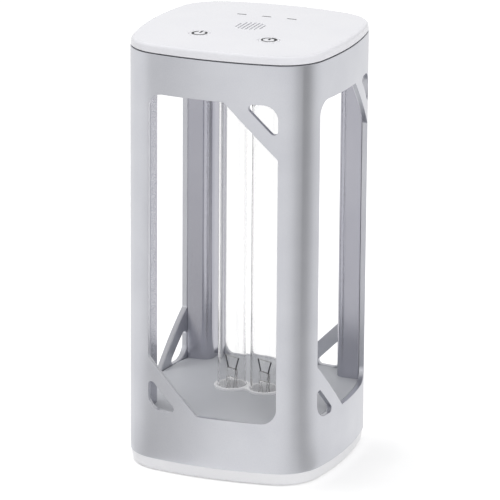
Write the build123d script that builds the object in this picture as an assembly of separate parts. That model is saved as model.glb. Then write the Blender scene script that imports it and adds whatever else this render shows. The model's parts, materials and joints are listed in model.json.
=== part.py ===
from build123d import *
import math
import os

# Desk lamp that disinfects a room with ultraviolet light from a bare twin glass tube.
# A silver frame with four open windows stands on a white base and carries a white lid.
# +Z is up, the front with the two keys faces -Y, and the origin is under the middle of the feet.
# All sizes are in millimetres. Cutters run 1 mm past what they cut, so that no skin is left.

# Whole lamp
half_width = 60.0
overall_height = 248.0
side_radius = 197.5
corner_radius = 26.0
foot_height = 0.5
base_top = 7.5
frame_top = 241.6
lid_bottom = 242.2
window_bottom = 36.5
window_top = 219.3

# Silver frame and its windows
frame_wall = 3.0
window_half = 38.2
window_corner = 8.5
strut_inner_leg = 30.6
strut_outer_leg = 19.5
strut_root_radius = 2.0
hole_tip_radius = 2.2
frame_edge_bevel = 0.4

# Inner corner posts, floor and ceiling
post_wall = 1.8
post_corner = 6.0
post_edge_radius = 0.4
post_frame_gap = 0.05
boss_place = 43.6
boss_radius = 4.0
boss_height = 12.0
floor_top = window_bottom - 0.2
plate_thickness = 1.8
plate_rim_height = 4.0
plate_rim_wall = 1.5
ceiling_bottom = window_top
fit_gap = 0.2
cap_hole_gap = 0.1
blind_hole_skin = 0.5

# Lid, keys, indicator slits and speaker grille
lid_gap = 0.15
lid_draft = 6.0
lid_wall = 2.2
lid_ceiling = 245.0
lid_edge_radius = 1.8
lid_skirt_depth = 6.0
lid_skirt_wall = 1.5
carrier_wall = 1.6
carrier_depth = 14.0
carrier_flange_inset = 1.4
crown_rise = 1.1
key_x = 20.5
key_y = -25.0
key_radius = 6.0
key_gap = 0.12
key_travel = 0.5
key_flange_radius = 7.2
key_flange_thickness = 0.8
key_flange_gap = 0.05
key_stem_radius = 1.6
slit_y = 25.0
slit_pitch = 15.0
slit_length = 5.7
slit_width = 1.0
guide_gap = 0.05
guide_foot_margin = 0.75
guide_foot_width = 2.6
guide_foot_height = 1.6
grille_radius = 8.6
grille_pitch = 2.4
grille_slot_width = 0.9
grille_slots_each_side = 3

# Twin tube, its glass stems and its cap
tube_x = 9.9
tube_radius = 8.1
tube_wall = 0.8
tube_bottom = 30.0
tube_top = 214.0
bridge_z = 206.0
bridge_radius = 3.2
cap_lobe_radius = 10.15
cap_skirt_radius = 8.95
cap_top = floor_top + 1.4
cap_bottom = 24.0
cap_edge_bevel = 0.5
cap_waist_share = 1.1
cap_bore_gap = 0.15
cap_well_radius = 5.0
cap_well_floor = 2.0
stem_bottom = 31.0
stem_gap = 0.05
stem_lip_height = 0.7
stem_waist_radius = 4.6
stem_waist_height = 2.6
stem_neck_height = 8.0
stem_neck_radius = 3.0
pinch_bottom = 41.5
pinch_top = 47.2
pinch_length = 8.4
pinch_thickness = 1.9
electrode_turn = -24.0
lead_radius = 0.3
lead_tip = 54.2
lead_spread_low = 3.2
lead_spread_high = 5.2
lead_straight = 1.4
lead_bend_radius = 1.5
coil_radius = 0.45

# Socket under the floor
pin_radius = 1.15
pin_length = 6.5
pin_offset = 3.5
pin_gap = 0.15
pin_hole_depth = 7.0
socket_length, socket_depth, socket_corner = 46.0, 20.0, 4.0
socket_height = 9.0
socket_gap = 0.2
ear_x = 27.5
ear_radius = 4.5
ear_web_length, ear_web_width = 11.0, 6.0
ear_seat_depth = 4.5
ear_head_gap = 0.2
ear_shank_gap = 0.1

# Electronics under the lid
board_thickness = 1.6
control_board_top = 239.6
control_board_length = 84.0
control_board_depth = 78.0
control_board_corner = 8.0
control_screw_x = 36.0
control_screw_y = 33.0
switch_height = 3.2
switch_size = 6.2
switch_leg_length, switch_leg_width, switch_leg_thickness = 1.0, 4.5, 0.4
plunger_radius = 1.42
plunger_gap = 0.08
plunger_proud = 0.8
plunger_hole_floor = 1.0
plunger_end_gap = 0.3
chip_x, chip_y, chip_size, chip_height = 12.0, 14.0, 10.0, 1.6
relay_x, relay_y, relay_length, relay_width = 24.0, 2.0, 15.0, 11.0
relay_height = 10.0
connector_length, connector_width = 9.0, 6.0
connector_height = 7.0
sensor_x, sensor_y, sensor_length, sensor_width = -24.0, 8.0, 20.0, 14.0
sensor_pin_height, sensor_board_thickness, sensor_can_height = 2.8, 1.6, 1.8
sensor_pins_length, sensor_pins_width, sensor_pins_offset = 12.0, 2.5, -5.0
sensor_can_length, sensor_can_width, sensor_can_offset = 8.0, 6.0, 1.5
light_length, light_width, light_height = 3.2, 1.6, 1.4
light_dome_radius, light_dome_height = 0.7, 0.4
speaker_radius = 13.0
speaker_height = 4.6
speaker_magnet_radius = 9.0
speaker_basket_radius = 10.5
speaker_basket_height = 2.0
speaker_surround = 1.6
speaker_cone_radius = 9.6
speaker_cone_drop = 1.4
speaker_cap_radius = 4.0
speaker_cap_drop = 0.9
speaker_dome_drop = 0.6

# Electronics in the base
ballast_board_bottom = 7.0
ballast_board_half = 43.0
ballast_board_corner = 10.0
ballast_screw_place = 38.0
choke_x, choke_y = 26.0, 24.0
choke_length, choke_width, choke_height = 22.0, 10.0, 16.0
choke_limb = 3.0
choke_leg = 3.5
choke_foot_length, choke_foot_width, choke_foot_height = 20.0, 18.0, 2.0
bobbin_radius = 7.3
capacitor_x, capacitor_y = -26.0, 26.0
capacitor_radius, capacitor_height = 6.5, 21.0
crimp_low, crimp_high, crimp_radius = 2.5, 3.7, 6.0
film_x, film_y, film_pitch = -32.0, -21.0, 10.0
film_length, film_width, film_height = 15.0, 6.5, 11.0
sink_x, sink_y = 30.0, -26.0
sink_thickness, sink_length, sink_height = 3.0, 26.0, 16.0
fin_length, fin_thickness, fin_pitch = 5.0, 1.4, 5.0
terminal_y = 36.0
terminal_length, terminal_width, terminal_height = 12.0, 9.0, 9.0
terminal_hole_x, terminal_hole_radius, terminal_hole_depth = 2.8, 1.6, 3.0
header_x, header_y = -28.0, 39.5
header_length, header_width, header_height = 8.0, 5.0, 4.0

# Wires from the base to the lid
wire_radius = 1.7
wire_x, wire_y = -42.0, 49.4
connector_x, connector_y = -24.0, 30.0
wire_bend_radius = 2.0
wire_hole_gap = 0.3
wire_low_drop, wire_high_rise = 3.5, 6.0

# Base, feet and cord entry at the back
base_bottom_inset = 1.5
base_top_inset = 0.25
base_edge_radius = 1.4
base_wall_inset = 4.9
base_floor = 2.2
base_lip_height = 7.0
vent_length = 26.0
vent_width = 2.0
vent_pitch = 5.0
vents_each_side = 4
foot_place = 38.0
foot_radius = 6.0
foot_recess = 0.9
foot_gap = 0.15
foot_bevel = 0.3
ballast_boss_radius = 3.2
gland_z = 21.0
gland_hole_width = 15.0
gland_hole_corner = 3.5
gland_gap = 0.15
gland_bore_radius = 3.2
gland_length = 12.0
gland_recess = 0.3
gland_flange = 1.6
gland_flange_thickness = 2.2
gland_neck_inset = 2.3
gland_notch_gap = 0.6

# Screws
screw_head_radius = 2.4
screw_head_height = 1.6
screw_radius = 1.1
pilot_radius = 1.2
clearance_radius = 1.7
board_hole_radius = 1.3
plate_screw_length = 9.0
control_screw_length = 6.0
ballast_screw_length = 5.5
socket_screw_length = 5.6

# Values worked out from those above
side_centre = side_radius - half_width
corner_reach = corner_radius - side_radius
corner_place = (math.sqrt(2.0 * corner_reach**2 - side_centre**2) - side_centre) / 2.0
side_half_angle = math.atan2(corner_place, corner_place + side_centre)
crown_radius = half_width**2 / (2.0 * crown_rise)
inner_inset = frame_wall + fit_gap
switch_top = control_board_top + switch_height
plunger_top = switch_top + plunger_proud
control_board_bottom = control_board_top - board_thickness
ballast_board_top = ballast_board_bottom + board_thickness
socket_top = cap_bottom - socket_gap
floor_bottom = floor_top - plate_thickness
four_ways = [(-1, -1), (-1, 1), (1, -1), (1, 1)]
post_names = ["post_front_left", "post_front_right", "post_rear_right", "post_rear_left"]


def places(x, y):
    """The four corners of a rectangle centred on the lamp's axis."""
    return [(side * x, hand * y) for side, hand in four_ways]


def section(inset):
    """Plan outline of the body moved inwards: four slightly bulged sides joined by corner arcs."""
    reach = side_radius - inset
    turn = corner_radius - inset
    end_x = reach * math.sin(side_half_angle)
    end_y = side_centre - reach * math.cos(side_half_angle)
    corner_mid = corner_place + turn * math.sqrt(0.5)
    side = ThreePointArc((-end_x, end_y), (0, side_centre - reach), (end_x, end_y))
    corner = ThreePointArc((end_x, end_y), (corner_mid, -corner_mid), (-end_y, -end_x))
    edges = []
    for quarter in range(4):
        edges.append(Rot(0, 0, 90 * quarter) * side)
        edges.append(Rot(0, 0, 90 * quarter) * corner)
    return make_face(Wire(edges))


def prism(inset, low, high):
    """Solid with the body's plan outline between two heights."""
    return extrude(Pos(0, 0, low) * section(inset), high - low)


def shell_ring(outer_inset, inner_inset, low, high):
    """Upright wall that follows the body's plan outline."""
    return prism(outer_inset, low, high) - prism(inner_inset, low, high)


def column(x, y, radius, low, high):
    """Upright round bar."""
    return Pos(x, y, (low + high) / 2) * Cylinder(radius, high - low)


def block(x, y, length, depth, low, high):
    """Upright rectangular block standing between two heights."""
    return Pos(x, y, (low + high) / 2) * Box(length, depth, high - low)


def crown_ball(drop):
    """Very large ball whose top is the lid's shallow crown, lowered by drop."""
    return Pos(0, 0, overall_height - drop - crown_radius) * Sphere(crown_radius)


def rounded_polygon(points, radii):
    """Flat outline with a rounding at each corner."""
    face = make_face(Polyline(*points, close=True))
    for point, radius in zip(points, radii):
        corner = face.vertices().sort_by_distance((point[0], point[1], 0))[0]
        face = fillet(corner, radius)
    return face


def window_outlines():
    """Main opening and the two small holes that the 45 degree struts leave in its corners."""
    w, low, high = window_half, window_bottom, window_top
    root, corner, tip = strut_root_radius, window_corner, hole_tip_radius
    main_points = [
        (-w + strut_inner_leg, low), (w, low), (w, high - strut_inner_leg),
        (w - strut_inner_leg, high), (-w, high), (-w, low + strut_inner_leg),
    ]
    main = rounded_polygon(main_points, [root, corner, root, root, corner, root])
    upper_points = [(w, high), (w - strut_outer_leg, high), (w, high - strut_outer_leg)]
    lower_points = [(-w, low), (-w + strut_outer_leg, low), (-w, low + strut_outer_leg)]
    upper = rounded_polygon(upper_points, [corner, tip, tip])
    lower = rounded_polygon(lower_points, [corner, tip, tip])
    return [main, upper, lower]


def depth_inside(point):
    """How far a point's plan position lies inside the body's outline."""
    x, y = sorted((abs(point.X), abs(point.Y)))
    if math.atan2(x, y + side_centre) <= side_half_angle + 0.0001:
        return side_radius - math.hypot(x, y + side_centre)
    return corner_radius - math.hypot(x - corner_place, y - corner_place)


def on_outline(edge):
    """True for an edge that lies on the outer surface along its whole length."""
    return all(abs(depth_inside(edge @ place)) < 0.01 for place in (0, 0.3, 0.7, 1))


def on_seam(edge):
    """True for the upright line where a bulged side runs smoothly into a corner arc."""
    x = min(abs((edge @ 0.5).X), abs((edge @ 0.5).Y))
    upright = abs((edge % 0.5).Z) > 0.999
    return upright and abs(x - side_radius * math.sin(side_half_angle)) < 0.01


def gland_block(grow, back, front):
    """Bar along Y with the section of the cord gland's square hole, grown all round."""
    width = gland_hole_width + 2 * grow
    outline = RectangleRounded(width, width, gland_hole_corner + grow)
    return extrude(Pos(0, back, gland_z) * Rot(90, 0, 0) * outline, back - front, dir=(0, -1, 0))


def gland_cut(grow):
    """Cutter for the cord gland's hole, from outside the back wall to inside the base's lip."""
    return gland_block(grow, half_width + 1, half_width - 2 * frame_wall)


def make_frame_shell():
    """Silver frame: a bulged square tube with the same window and struts in each side."""
    frame = shell_ring(0, frame_wall, base_top, frame_top)
    cut_depth = 14.0
    cut_start = 2.0
    for outline in window_outlines():
        upright = Pos(0, -half_width + cut_depth - cut_start, 0) * Rot(90, 0, 0) * outline
        cutter = extrude(upright, cut_depth, dir=(0, -1, 0))
        for quarter in range(4):
            frame = frame - Rot(0, 0, 90 * quarter) * cutter
    frame = frame - gland_cut(0)
    outer_edges = [edge for edge in frame.edges() if on_outline(edge) and not on_seam(edge)]
    return chamfer(outer_edges, frame_edge_bevel)


def on_jamb_edge(edge):
    """True for the two upright edges where a post's faces reach the frame beside a window."""
    middle = edge @ 0.5
    across = min(abs(middle.X), abs(middle.Y))
    along = max(abs(middle.X), abs(middle.Y))
    return abs(across - window_half) < 0.01 and along > half_width - 10


def square_corner(line, radius):
    """Plan square that fills the front left corner outwards from a line, its near corner rounded."""
    far = half_width
    square = make_face(Polyline((-line, -line), (-far, -line), (-far, -far), (-line, -far), close=True))
    near = square.vertices().sort_by_distance((-line, -line, 0))[0]
    return fillet(near, radius)


def make_post(quarter):
    """Moulded corner post: an open channel with a screw boss at each end, turned into its corner."""
    low, high = floor_top, ceiling_bottom
    outer = square_corner(window_half, post_corner) & section(frame_wall + post_frame_gap)
    core = square_corner(window_half + post_wall, post_corner - post_wall)
    post = extrude(Pos(0, 0, low) * (outer - core), high - low)
    jamb = [edge for edge in post.edges().filter_by(Axis.Z) if on_jamb_edge(edge)]
    post = fillet(jamb, post_edge_radius)
    for bottom, top in ((low, low + boss_height), (high - boss_height, high)):
        post = post + column(-boss_place, -boss_place, boss_radius, bottom, top)
        post = post - column(-boss_place, -boss_place, pilot_radius, bottom - 1, top + 1)
    return Rot(0, 0, 90 * quarter) * post


def twin_outline(radius):
    """Figure of eight round the two tubes, with its waist filled in."""
    lobes = Pos(-tube_x, 0) * Circle(radius) + Pos(tube_x, 0) * Circle(radius)
    return lobes + Rectangle(2 * tube_x, radius * cap_waist_share)


def screw_holes(low, high):
    """Four clearance holes through a plate, in line with the post bosses."""
    return [column(x, y, clearance_radius, low - 1, high + 1) for x, y in places(boss_place, boss_place)]


def make_floor_plate():
    """Satin metal floor of the lamp chamber, with the cap's hole and the wire hole."""
    plate = prism(inner_inset, floor_bottom, floor_top)
    cap_outline = Pos(0, 0, floor_bottom - 1) * twin_outline(cap_skirt_radius + cap_hole_gap)
    plate = plate - extrude(cap_outline, plate_thickness + 2) - screw_holes(floor_bottom, floor_top)
    for side in (-1, 1):
        plate = plate - column(side * ear_x, 0, screw_radius, floor_bottom - 1, floor_top - blind_hole_skin)
    return plate - column(wire_x, wire_y, wire_radius + wire_hole_gap, floor_bottom - 1, floor_top + 1)


def make_ceiling_plate():
    """Plate that closes the chamber at the top, with a rim that stiffens it."""
    top = ceiling_bottom + plate_thickness
    plate = prism(inner_inset, ceiling_bottom, top)
    plate = plate + shell_ring(inner_inset, inner_inset + plate_rim_wall, top, top + plate_rim_height)
    plate = plate - screw_holes(ceiling_bottom, top)
    wire_hole_top = top + plate_rim_height + 1
    return plate - column(wire_x, wire_y, wire_radius + wire_hole_gap, ceiling_bottom - 1, wire_hole_top)


def make_lid_carrier():
    """Dark ring inside the top of the frame: the lid snaps into it and the seam shows its edge."""
    ring = shell_ring(inner_inset, inner_inset + carrier_wall, frame_top - carrier_depth, frame_top)
    flange = shell_ring(carrier_flange_inset, inner_inset + carrier_wall, frame_top, lid_bottom)
    return ring + flange


def make_lid():
    """White cover with a shallow crown, a rounded rim, key holes, indicator slits and a grille.

    The skirt and the screw bosses reach a little into the top, so that they are one piece with it.
    """
    root = lid_ceiling + 0.2
    lid = extrude(Pos(0, 0, lid_bottom) * section(lid_gap), overall_height - lid_bottom, taper=lid_draft)
    lid = lid & crown_ball(0)
    rim = [edge for edge in lid.edges() if (edge @ 0.5).Z > overall_height - 3]
    lid = fillet(rim, lid_edge_radius)
    lid = lid - prism(lid_wall, lid_bottom - 1, lid_ceiling)
    skirt_inset = inner_inset + carrier_wall + lid_gap
    lid = lid + shell_ring(skirt_inset, skirt_inset + lid_skirt_wall,
                           lid_bottom - lid_skirt_depth, root)
    for x, y in places(control_screw_x, control_screw_y):
        lid = lid + column(x, y, 2 * pilot_radius, control_board_top, root)
        lid = lid - column(x, y, pilot_radius, control_board_top - 1, lid_ceiling)
    for side in (-1, 1):
        lid = lid - column(side * key_x, key_y, key_radius + key_gap, lid_ceiling - 1, overall_height)
    for step in (-1, 0, 1):
        slit = Pos(step * slit_pitch, slit_y, lid_ceiling - 1) * SlotOverall(slit_length, slit_width)
        lid = lid - extrude(slit, 5)
    return lid - grille_slots()


def grille_slots():
    """Slots of the speaker grille: parallel bars of rising length inside a circle."""
    slots = []
    for step in range(-grille_slots_each_side, grille_slots_each_side + 1):
        x = step * grille_pitch
        length = 2.0 * math.sqrt(grille_radius**2 - x**2)
        slot = Pos(x, 0, lid_ceiling - 0.5) * Rot(0, 0, 90) * SlotOverall(length, grille_slot_width)
        slots.append(extrude(slot, 5))
    return slots


def make_key(x):
    """Round key flush with the crown, held under the lid by its flange, with a stem."""
    flange_top = lid_ceiling - key_flange_gap
    flange_bottom = flange_top - key_flange_thickness
    key = column(x, key_y, key_radius, flange_bottom, overall_height) & crown_ball(0)
    key = key + column(x, key_y, key_flange_radius, flange_bottom, flange_top)
    return key + column(x, key_y, key_stem_radius, plunger_top, flange_top)


def make_switch(x):
    """Body of the push switch under a key, with the hole its plunger slides in."""
    body = block(x, key_y, switch_size, switch_size, control_board_top, switch_top)
    hole_floor = control_board_top + plunger_hole_floor
    body = body - column(x, key_y, plunger_radius + plunger_gap, hole_floor, switch_top + 1)
    leg_top = control_board_top + switch_leg_thickness
    for side in (-1, 1):
        leg_x = x + side * (switch_size + switch_leg_length) / 2
        body = body + block(leg_x, key_y, switch_leg_length, switch_leg_width, control_board_top, leg_top)
    return body


def make_plunger(x):
    """Plunger of the push switch, which travels with its key."""
    lowest = control_board_top + plunger_hole_floor + key_travel + plunger_end_gap
    return column(x, key_y, plunger_radius, lowest, plunger_top)


def make_control_board():
    """Board under the lid that carries the switches, the indicator lights and the chips."""
    outline = RectangleRounded(control_board_length, control_board_depth, control_board_corner)
    board = extrude(Pos(0, 0, control_board_bottom) * outline, board_thickness)
    for x, y in places(control_screw_x, control_screw_y):
        board = board - column(x, y, board_hole_radius, control_board_bottom - 1, control_board_top + 1)
    return board


def make_speaker():
    """Small round speaker glued under the grille: magnet, basket, raised surround and a shallow cone."""
    high = lid_ceiling
    low = high - speaker_height
    basket = low + speaker_basket_height
    half_profile = [
        (0, low), (speaker_magnet_radius, low), (speaker_basket_radius, basket),
        (speaker_radius, basket), (speaker_radius, high), (speaker_radius - speaker_surround, high),
        (speaker_cone_radius, high - speaker_cone_drop), (speaker_cap_radius, high - speaker_cap_drop),
        (0, high - speaker_dome_drop),
    ]
    profile = make_face(Polyline(*half_profile, close=True))
    return revolve(Rot(90, 0, 0) * profile, Axis.Z)


def make_indicator_guides():
    """Three clear light guides that fill the indicator slits."""
    guides = []
    foot_length = slit_length + 2 * guide_foot_margin
    foot_bottom = lid_ceiling - guide_foot_height
    for step in (-1, 0, 1):
        x = step * slit_pitch
        tip = SlotOverall(slit_length - 2 * guide_gap, slit_width - 2 * guide_gap)
        bar = extrude(Pos(x, slit_y, foot_bottom) * tip, guide_foot_height + 4) & crown_ball(guide_gap)
        foot = block(x, slit_y, foot_length, guide_foot_width, foot_bottom, lid_ceiling)
        guides.append(bar + foot)
    return Compound(children=guides)


def make_indicator_lights():
    """Three small lamps on the board under the guides."""
    lights = []
    for step in (-1, 0, 1):
        x = step * slit_pitch
        body_top = control_board_top + light_height
        body = block(x, slit_y, light_length, light_width, control_board_top, body_top)
        dome = column(x, slit_y, light_dome_radius, body_top, body_top + light_dome_height)
        lights.append(body + dome)
    return Compound(children=lights)


def make_motion_sensor():
    """Presence sensor module on the underside of the control board: pins, a small board and a can."""
    pins_low = control_board_bottom - sensor_pin_height
    board_low = pins_low - sensor_board_thickness
    module = block(sensor_x, sensor_y, sensor_length, sensor_width, board_low, pins_low)
    pins = block(sensor_x, sensor_y + sensor_pins_offset, sensor_pins_length, sensor_pins_width,
                 pins_low, control_board_bottom)
    can = block(sensor_x, sensor_y + sensor_can_offset, sensor_can_length, sensor_can_width,
                board_low - sensor_can_height, board_low)
    return module + pins + can


def make_control_chips():
    """Controller chip, relay and wire connector on the control board."""
    low, high = control_board_top, control_board_bottom
    chip = block(chip_x, chip_y, chip_size, chip_size, low, low + chip_height)
    relay = block(relay_x, relay_y, relay_length, relay_width, high - relay_height, high)
    connector = block(connector_x, connector_y, connector_length, connector_width,
                      high - connector_height, high)
    return Compound(children=[chip, relay, connector])


def make_lamp_tube():
    """Twin clear glass tube: two domed legs joined by a short bridge near the top, one hollow inside."""
    return tube_body(0) - tube_body(tube_wall)


def tube_body(inset):
    """Legs and bridge of the twin tube, moved inwards by inset."""
    radius = tube_radius - inset
    shoulder = tube_top - tube_radius
    low = tube_bottom - (1 if inset else 0)
    body = Pos(0, 0, bridge_z) * Rot(0, 90, 0) * Cylinder(bridge_radius - inset, 2 * tube_x)
    for side in (-1, 1):
        body = body + column(side * tube_x, 0, radius, low, shoulder)
        body = body + Pos(side * tube_x, 0, shoulder) * Sphere(radius)
    return body


def make_glass_stem(side):
    """Glass stem that closes one leg: a flare, a neck and the flat pinch that holds the leads."""
    seat = tube_radius - tube_wall - stem_gap
    lip = stem_bottom + stem_lip_height
    neck = stem_bottom + stem_neck_height
    waist = (stem_waist_radius, stem_bottom + stem_waist_height)
    flare = Spline((seat, lip), waist, (stem_neck_radius, neck), tangents=((-0.2, 1.0), (0, 1.0)))
    neck_top = pinch_bottom + 1.0
    sides = Polyline((stem_neck_radius, neck), (stem_neck_radius, neck_top), (0, neck_top),
                     (0, stem_bottom), (seat, stem_bottom), (seat, lip))
    body = revolve(Rot(90, 0, 0) * make_face(Wire(flare.edges() + sides.edges())), Axis.Z)
    pinch = extrude(Pos(0, 0, pinch_bottom) * SlotOverall(pinch_length, pinch_thickness),
                    pinch_top - pinch_bottom)
    return Pos(side * tube_x, 0, 0) * Rot(0, 0, electrode_turn) * (body + pinch)


def make_filament(side):
    """Two lead wires that spread from the pinch, and the filament coil strung between their tips."""
    coil_length = 2 * lead_spread_high
    electrode = Pos(0, 0, lead_tip - lead_radius) * Rot(0, 90, 0) * Cylinder(coil_radius, coil_length)
    for hand in (-1, 1):
        path = FilletPolyline((hand * lead_spread_low, 0, pinch_top),
                              (hand * lead_spread_low, 0, pinch_top + lead_straight),
                              (hand * lead_spread_high, 0, lead_tip), radius=lead_bend_radius)
        lead = sweep(Plane(path @ 0, z_dir=path % 0) * Circle(lead_radius), path)
        electrode = electrode + lead
    return Pos(side * tube_x, 0, 0) * Rot(0, 0, electrode_turn) * electrode


def make_lamp_cap():
    """White cap of the lamp: a figure of eight collar proud of the floor over a plug block."""
    cap = extrude(Pos(0, 0, cap_bottom) * twin_outline(cap_skirt_radius), floor_top - cap_bottom)
    collar = extrude(Pos(0, 0, floor_top) * twin_outline(cap_lobe_radius), cap_top - floor_top)
    cap = cap + chamfer(collar.edges().group_by(Axis.Z)[-1], cap_edge_bevel)
    for side in (-1, 1):
        cap = cap - column(side * tube_x, 0, tube_radius + cap_bore_gap, tube_bottom, cap_top + 1)
        cap = cap - column(side * tube_x, 0, cap_well_radius, cap_bottom + cap_well_floor, cap_top)
    return cap


def pin_places():
    """Plan positions of the four contact pins, in one row."""
    return [side * tube_x + hand * pin_offset for side in (-1, 1) for hand in (-1, 1)]


def make_contact_pins():
    """Four brass pins under the cap."""
    low = cap_bottom - pin_length
    return Compound(children=[column(x, 0, pin_radius, low, cap_bottom) for x in pin_places()])


def make_lamp_socket():
    """Socket that hangs from the floor plate on two hollow ears and takes the four pins."""
    low = socket_top - socket_height
    outline = RectangleRounded(socket_length, socket_depth, socket_corner)
    socket = extrude(Pos(0, 0, low) * outline, socket_height)
    for x in pin_places():
        socket = socket - column(x, 0, pin_radius + pin_gap, socket_top - pin_hole_depth, socket_top + 1)
    for side in (-1, 1):
        ear = column(side * ear_x, 0, ear_radius, low, floor_bottom)
        web = block(side * (ear_x - ear_web_length / 2), 0, ear_web_length, ear_web_width, low, socket_top)
        head_hole = column(side * ear_x, 0, screw_head_radius + ear_head_gap, low - 1, socket_screw_seat())
        shank_hole = column(side * ear_x, 0, screw_radius + ear_shank_gap, low - 1, floor_bottom + 1)
        socket = socket + web + ear - head_hole - shank_hole
    return socket


def socket_screw_seat():
    """Height inside the socket's ears where the screw heads bear."""
    return floor_bottom - ear_seat_depth


def make_base_tray():
    """White base: a ring that tapers in to the table, a closed floor and a lip inside the frame."""
    tray = loft([Pos(0, 0, foot_height) * section(base_bottom_inset),
                 Pos(0, 0, base_top) * section(base_top_inset)])
    tray = fillet(tray.edges().group_by(Axis.Z)[0], base_edge_radius)
    tray = tray - prism(base_wall_inset, foot_height + base_floor, base_top + 1)
    tray = tray + shell_ring(inner_inset, base_wall_inset, foot_height + 1, base_top + base_lip_height)
    for x, y in places(ballast_screw_place, ballast_screw_place):
        tray = tray + column(x, y, ballast_boss_radius, foot_height + 1, ballast_board_bottom)
        tray = tray - column(x, y, screw_radius, foot_height + base_floor, ballast_board_bottom + 1)
    for x, y in places(foot_place, foot_place):
        tray = tray - column(x, y, foot_radius + foot_gap, foot_height - 1, foot_height + foot_recess)
    for step in range(-vents_each_side, vents_each_side + 1):
        vent = Rot(0, 0, 90) * SlotOverall(vent_length, vent_width)
        tray = tray - extrude(Pos(step * vent_pitch, 0, foot_height - 1) * vent, 6)
    return tray - gland_cut(gland_flange + gland_notch_gap)


def make_rubber_feet():
    """Four round rubber pads let into the base."""
    feet = []
    for x, y in places(foot_place, foot_place):
        pad = column(x, y, foot_radius, 0, foot_height + foot_recess)
        feet.append(chamfer(pad.edges().group_by(Axis.Z)[0], foot_bevel))
    return Compound(children=feet)


def screw(x, y, seat, length, direction):
    """Pan head screw with its head on a seat and its shank pointing along direction."""
    head_low, head_high = sorted((seat, seat - direction * screw_head_height))
    shank_low, shank_high = sorted((seat, seat + direction * length))
    head = column(x, y, screw_head_radius, head_low, head_high)
    return head + column(x, y, screw_radius - 0.02, shank_low, shank_high)


def make_screws(seat, length, direction, spots):
    """Group of identical screws."""
    return Compound(children=[screw(x, y, seat, length, direction) for x, y in spots])


def make_ballast_board():
    """Board in the base that drives the tube."""
    outline = RectangleRounded(2 * ballast_board_half, 2 * ballast_board_half, ballast_board_corner)
    board = extrude(Pos(0, 0, ballast_board_bottom) * outline, board_thickness)
    for x, y in places(ballast_screw_place, ballast_screw_place):
        board = board - column(x, y, board_hole_radius, ballast_board_bottom - 1, ballast_board_top + 1)
    return board


def make_ballast_capacitor():
    """Round smoothing capacitor with a crimped groove near its foot."""
    x, y, low = capacitor_x, capacitor_y, ballast_board_top
    can = column(x, y, capacitor_radius, low, low + capacitor_height)
    groove = column(x, y, capacitor_radius + 1, low + crimp_low, low + crimp_high)
    return can - (groove - column(x, y, crimp_radius, low + crimp_low, low + crimp_high))


def make_ballast_choke():
    """Choke: a wound bobbin between the halves of a ferrite core, on a foot."""
    x, y = choke_x, choke_y
    low = ballast_board_top + choke_foot_height
    high = low + choke_height
    core = block(x, y, choke_length, choke_width, low, high)
    window_length = choke_length - 2 * choke_leg
    window = block(x, y, window_length, choke_width + 2, low + choke_limb, high - choke_limb)
    bobbin = column(x, y, bobbin_radius, low + choke_limb, high - choke_limb)
    foot = block(x, y, choke_foot_length, choke_foot_width, ballast_board_top, low)
    return (core - window) + bobbin + foot


def make_film_capacitors():
    """Row of boxed film capacitors."""
    low, high = ballast_board_top, ballast_board_top + film_height
    rows = [film_y + step * film_pitch for step in (-1, 0, 1)]
    return Compound(children=[block(film_x, y, film_length, film_width, low, high) for y in rows])


def make_heat_sink():
    """Finned strip that cools the two switching transistors."""
    low, high = ballast_board_top, ballast_board_top + sink_height
    sink = block(sink_x, sink_y, sink_thickness, sink_length, low, high)
    fin_x = sink_x + sink_thickness / 2 + fin_length / 2 - 0.5
    for step in range(-2, 3):
        sink = sink + block(fin_x, sink_y + step * fin_pitch, fin_length, fin_thickness, low, high)
    return sink


def make_terminal_block():
    """Two-way block where the mains wires end."""
    low, high = ballast_board_top, ballast_board_top + terminal_height
    body = block(0, terminal_y, terminal_length, terminal_width, low, high)
    for side in (-1, 1):
        hole_x = side * terminal_hole_x
        body = body - column(hole_x, terminal_y, terminal_hole_radius, high - terminal_hole_depth, high + 1)
    return body


def make_wire_header():
    """Connector on the ballast board where the wire bundle starts."""
    low, high = ballast_board_top, ballast_board_top + header_height
    return block(header_x, header_y, header_length, header_width, low, high)


def make_wire_bundle():
    """Bundle of wires from the ballast up through the rear left post to the control board."""
    low_run = floor_bottom - wire_low_drop
    high_run = ceiling_bottom + wire_high_rise
    connector_low = control_board_bottom - connector_height
    points = [
        (header_x, header_y, ballast_board_top + header_height), (header_x, header_y, low_run),
        (wire_x, wire_y, low_run), (wire_x, wire_y, high_run),
        (connector_x, connector_y, high_run), (connector_x, connector_y, connector_low),
    ]
    path = FilletPolyline(*points, radius=wire_bend_radius)
    return sweep(Plane(path @ 0, z_dir=path % 0) * Circle(wire_radius), path)


def make_cord_gland():
    """Rubber grommet in the square hole at the back: its flats stop it turning, its bore is round."""
    back = half_width - gland_recess
    front = back - gland_length
    wall_back = back - frame_wall - gland_gap
    shoulder = wall_back - gland_flange_thickness
    gland = gland_block(-gland_gap, back, wall_back) + gland_block(gland_flange, wall_back, shoulder)
    gland = gland + gland_block(-gland_neck_inset, shoulder, front)
    bore = Cylinder(gland_bore_radius, gland_length + 2)
    return gland - Pos(0, (back + front) / 2, gland_z) * Rot(90, 0, 0) * bore


boss_places = places(boss_place, boss_place)
control_screw_places = places(control_screw_x, control_screw_y)
ballast_screw_places = places(ballast_screw_place, ballast_screw_place)

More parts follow.
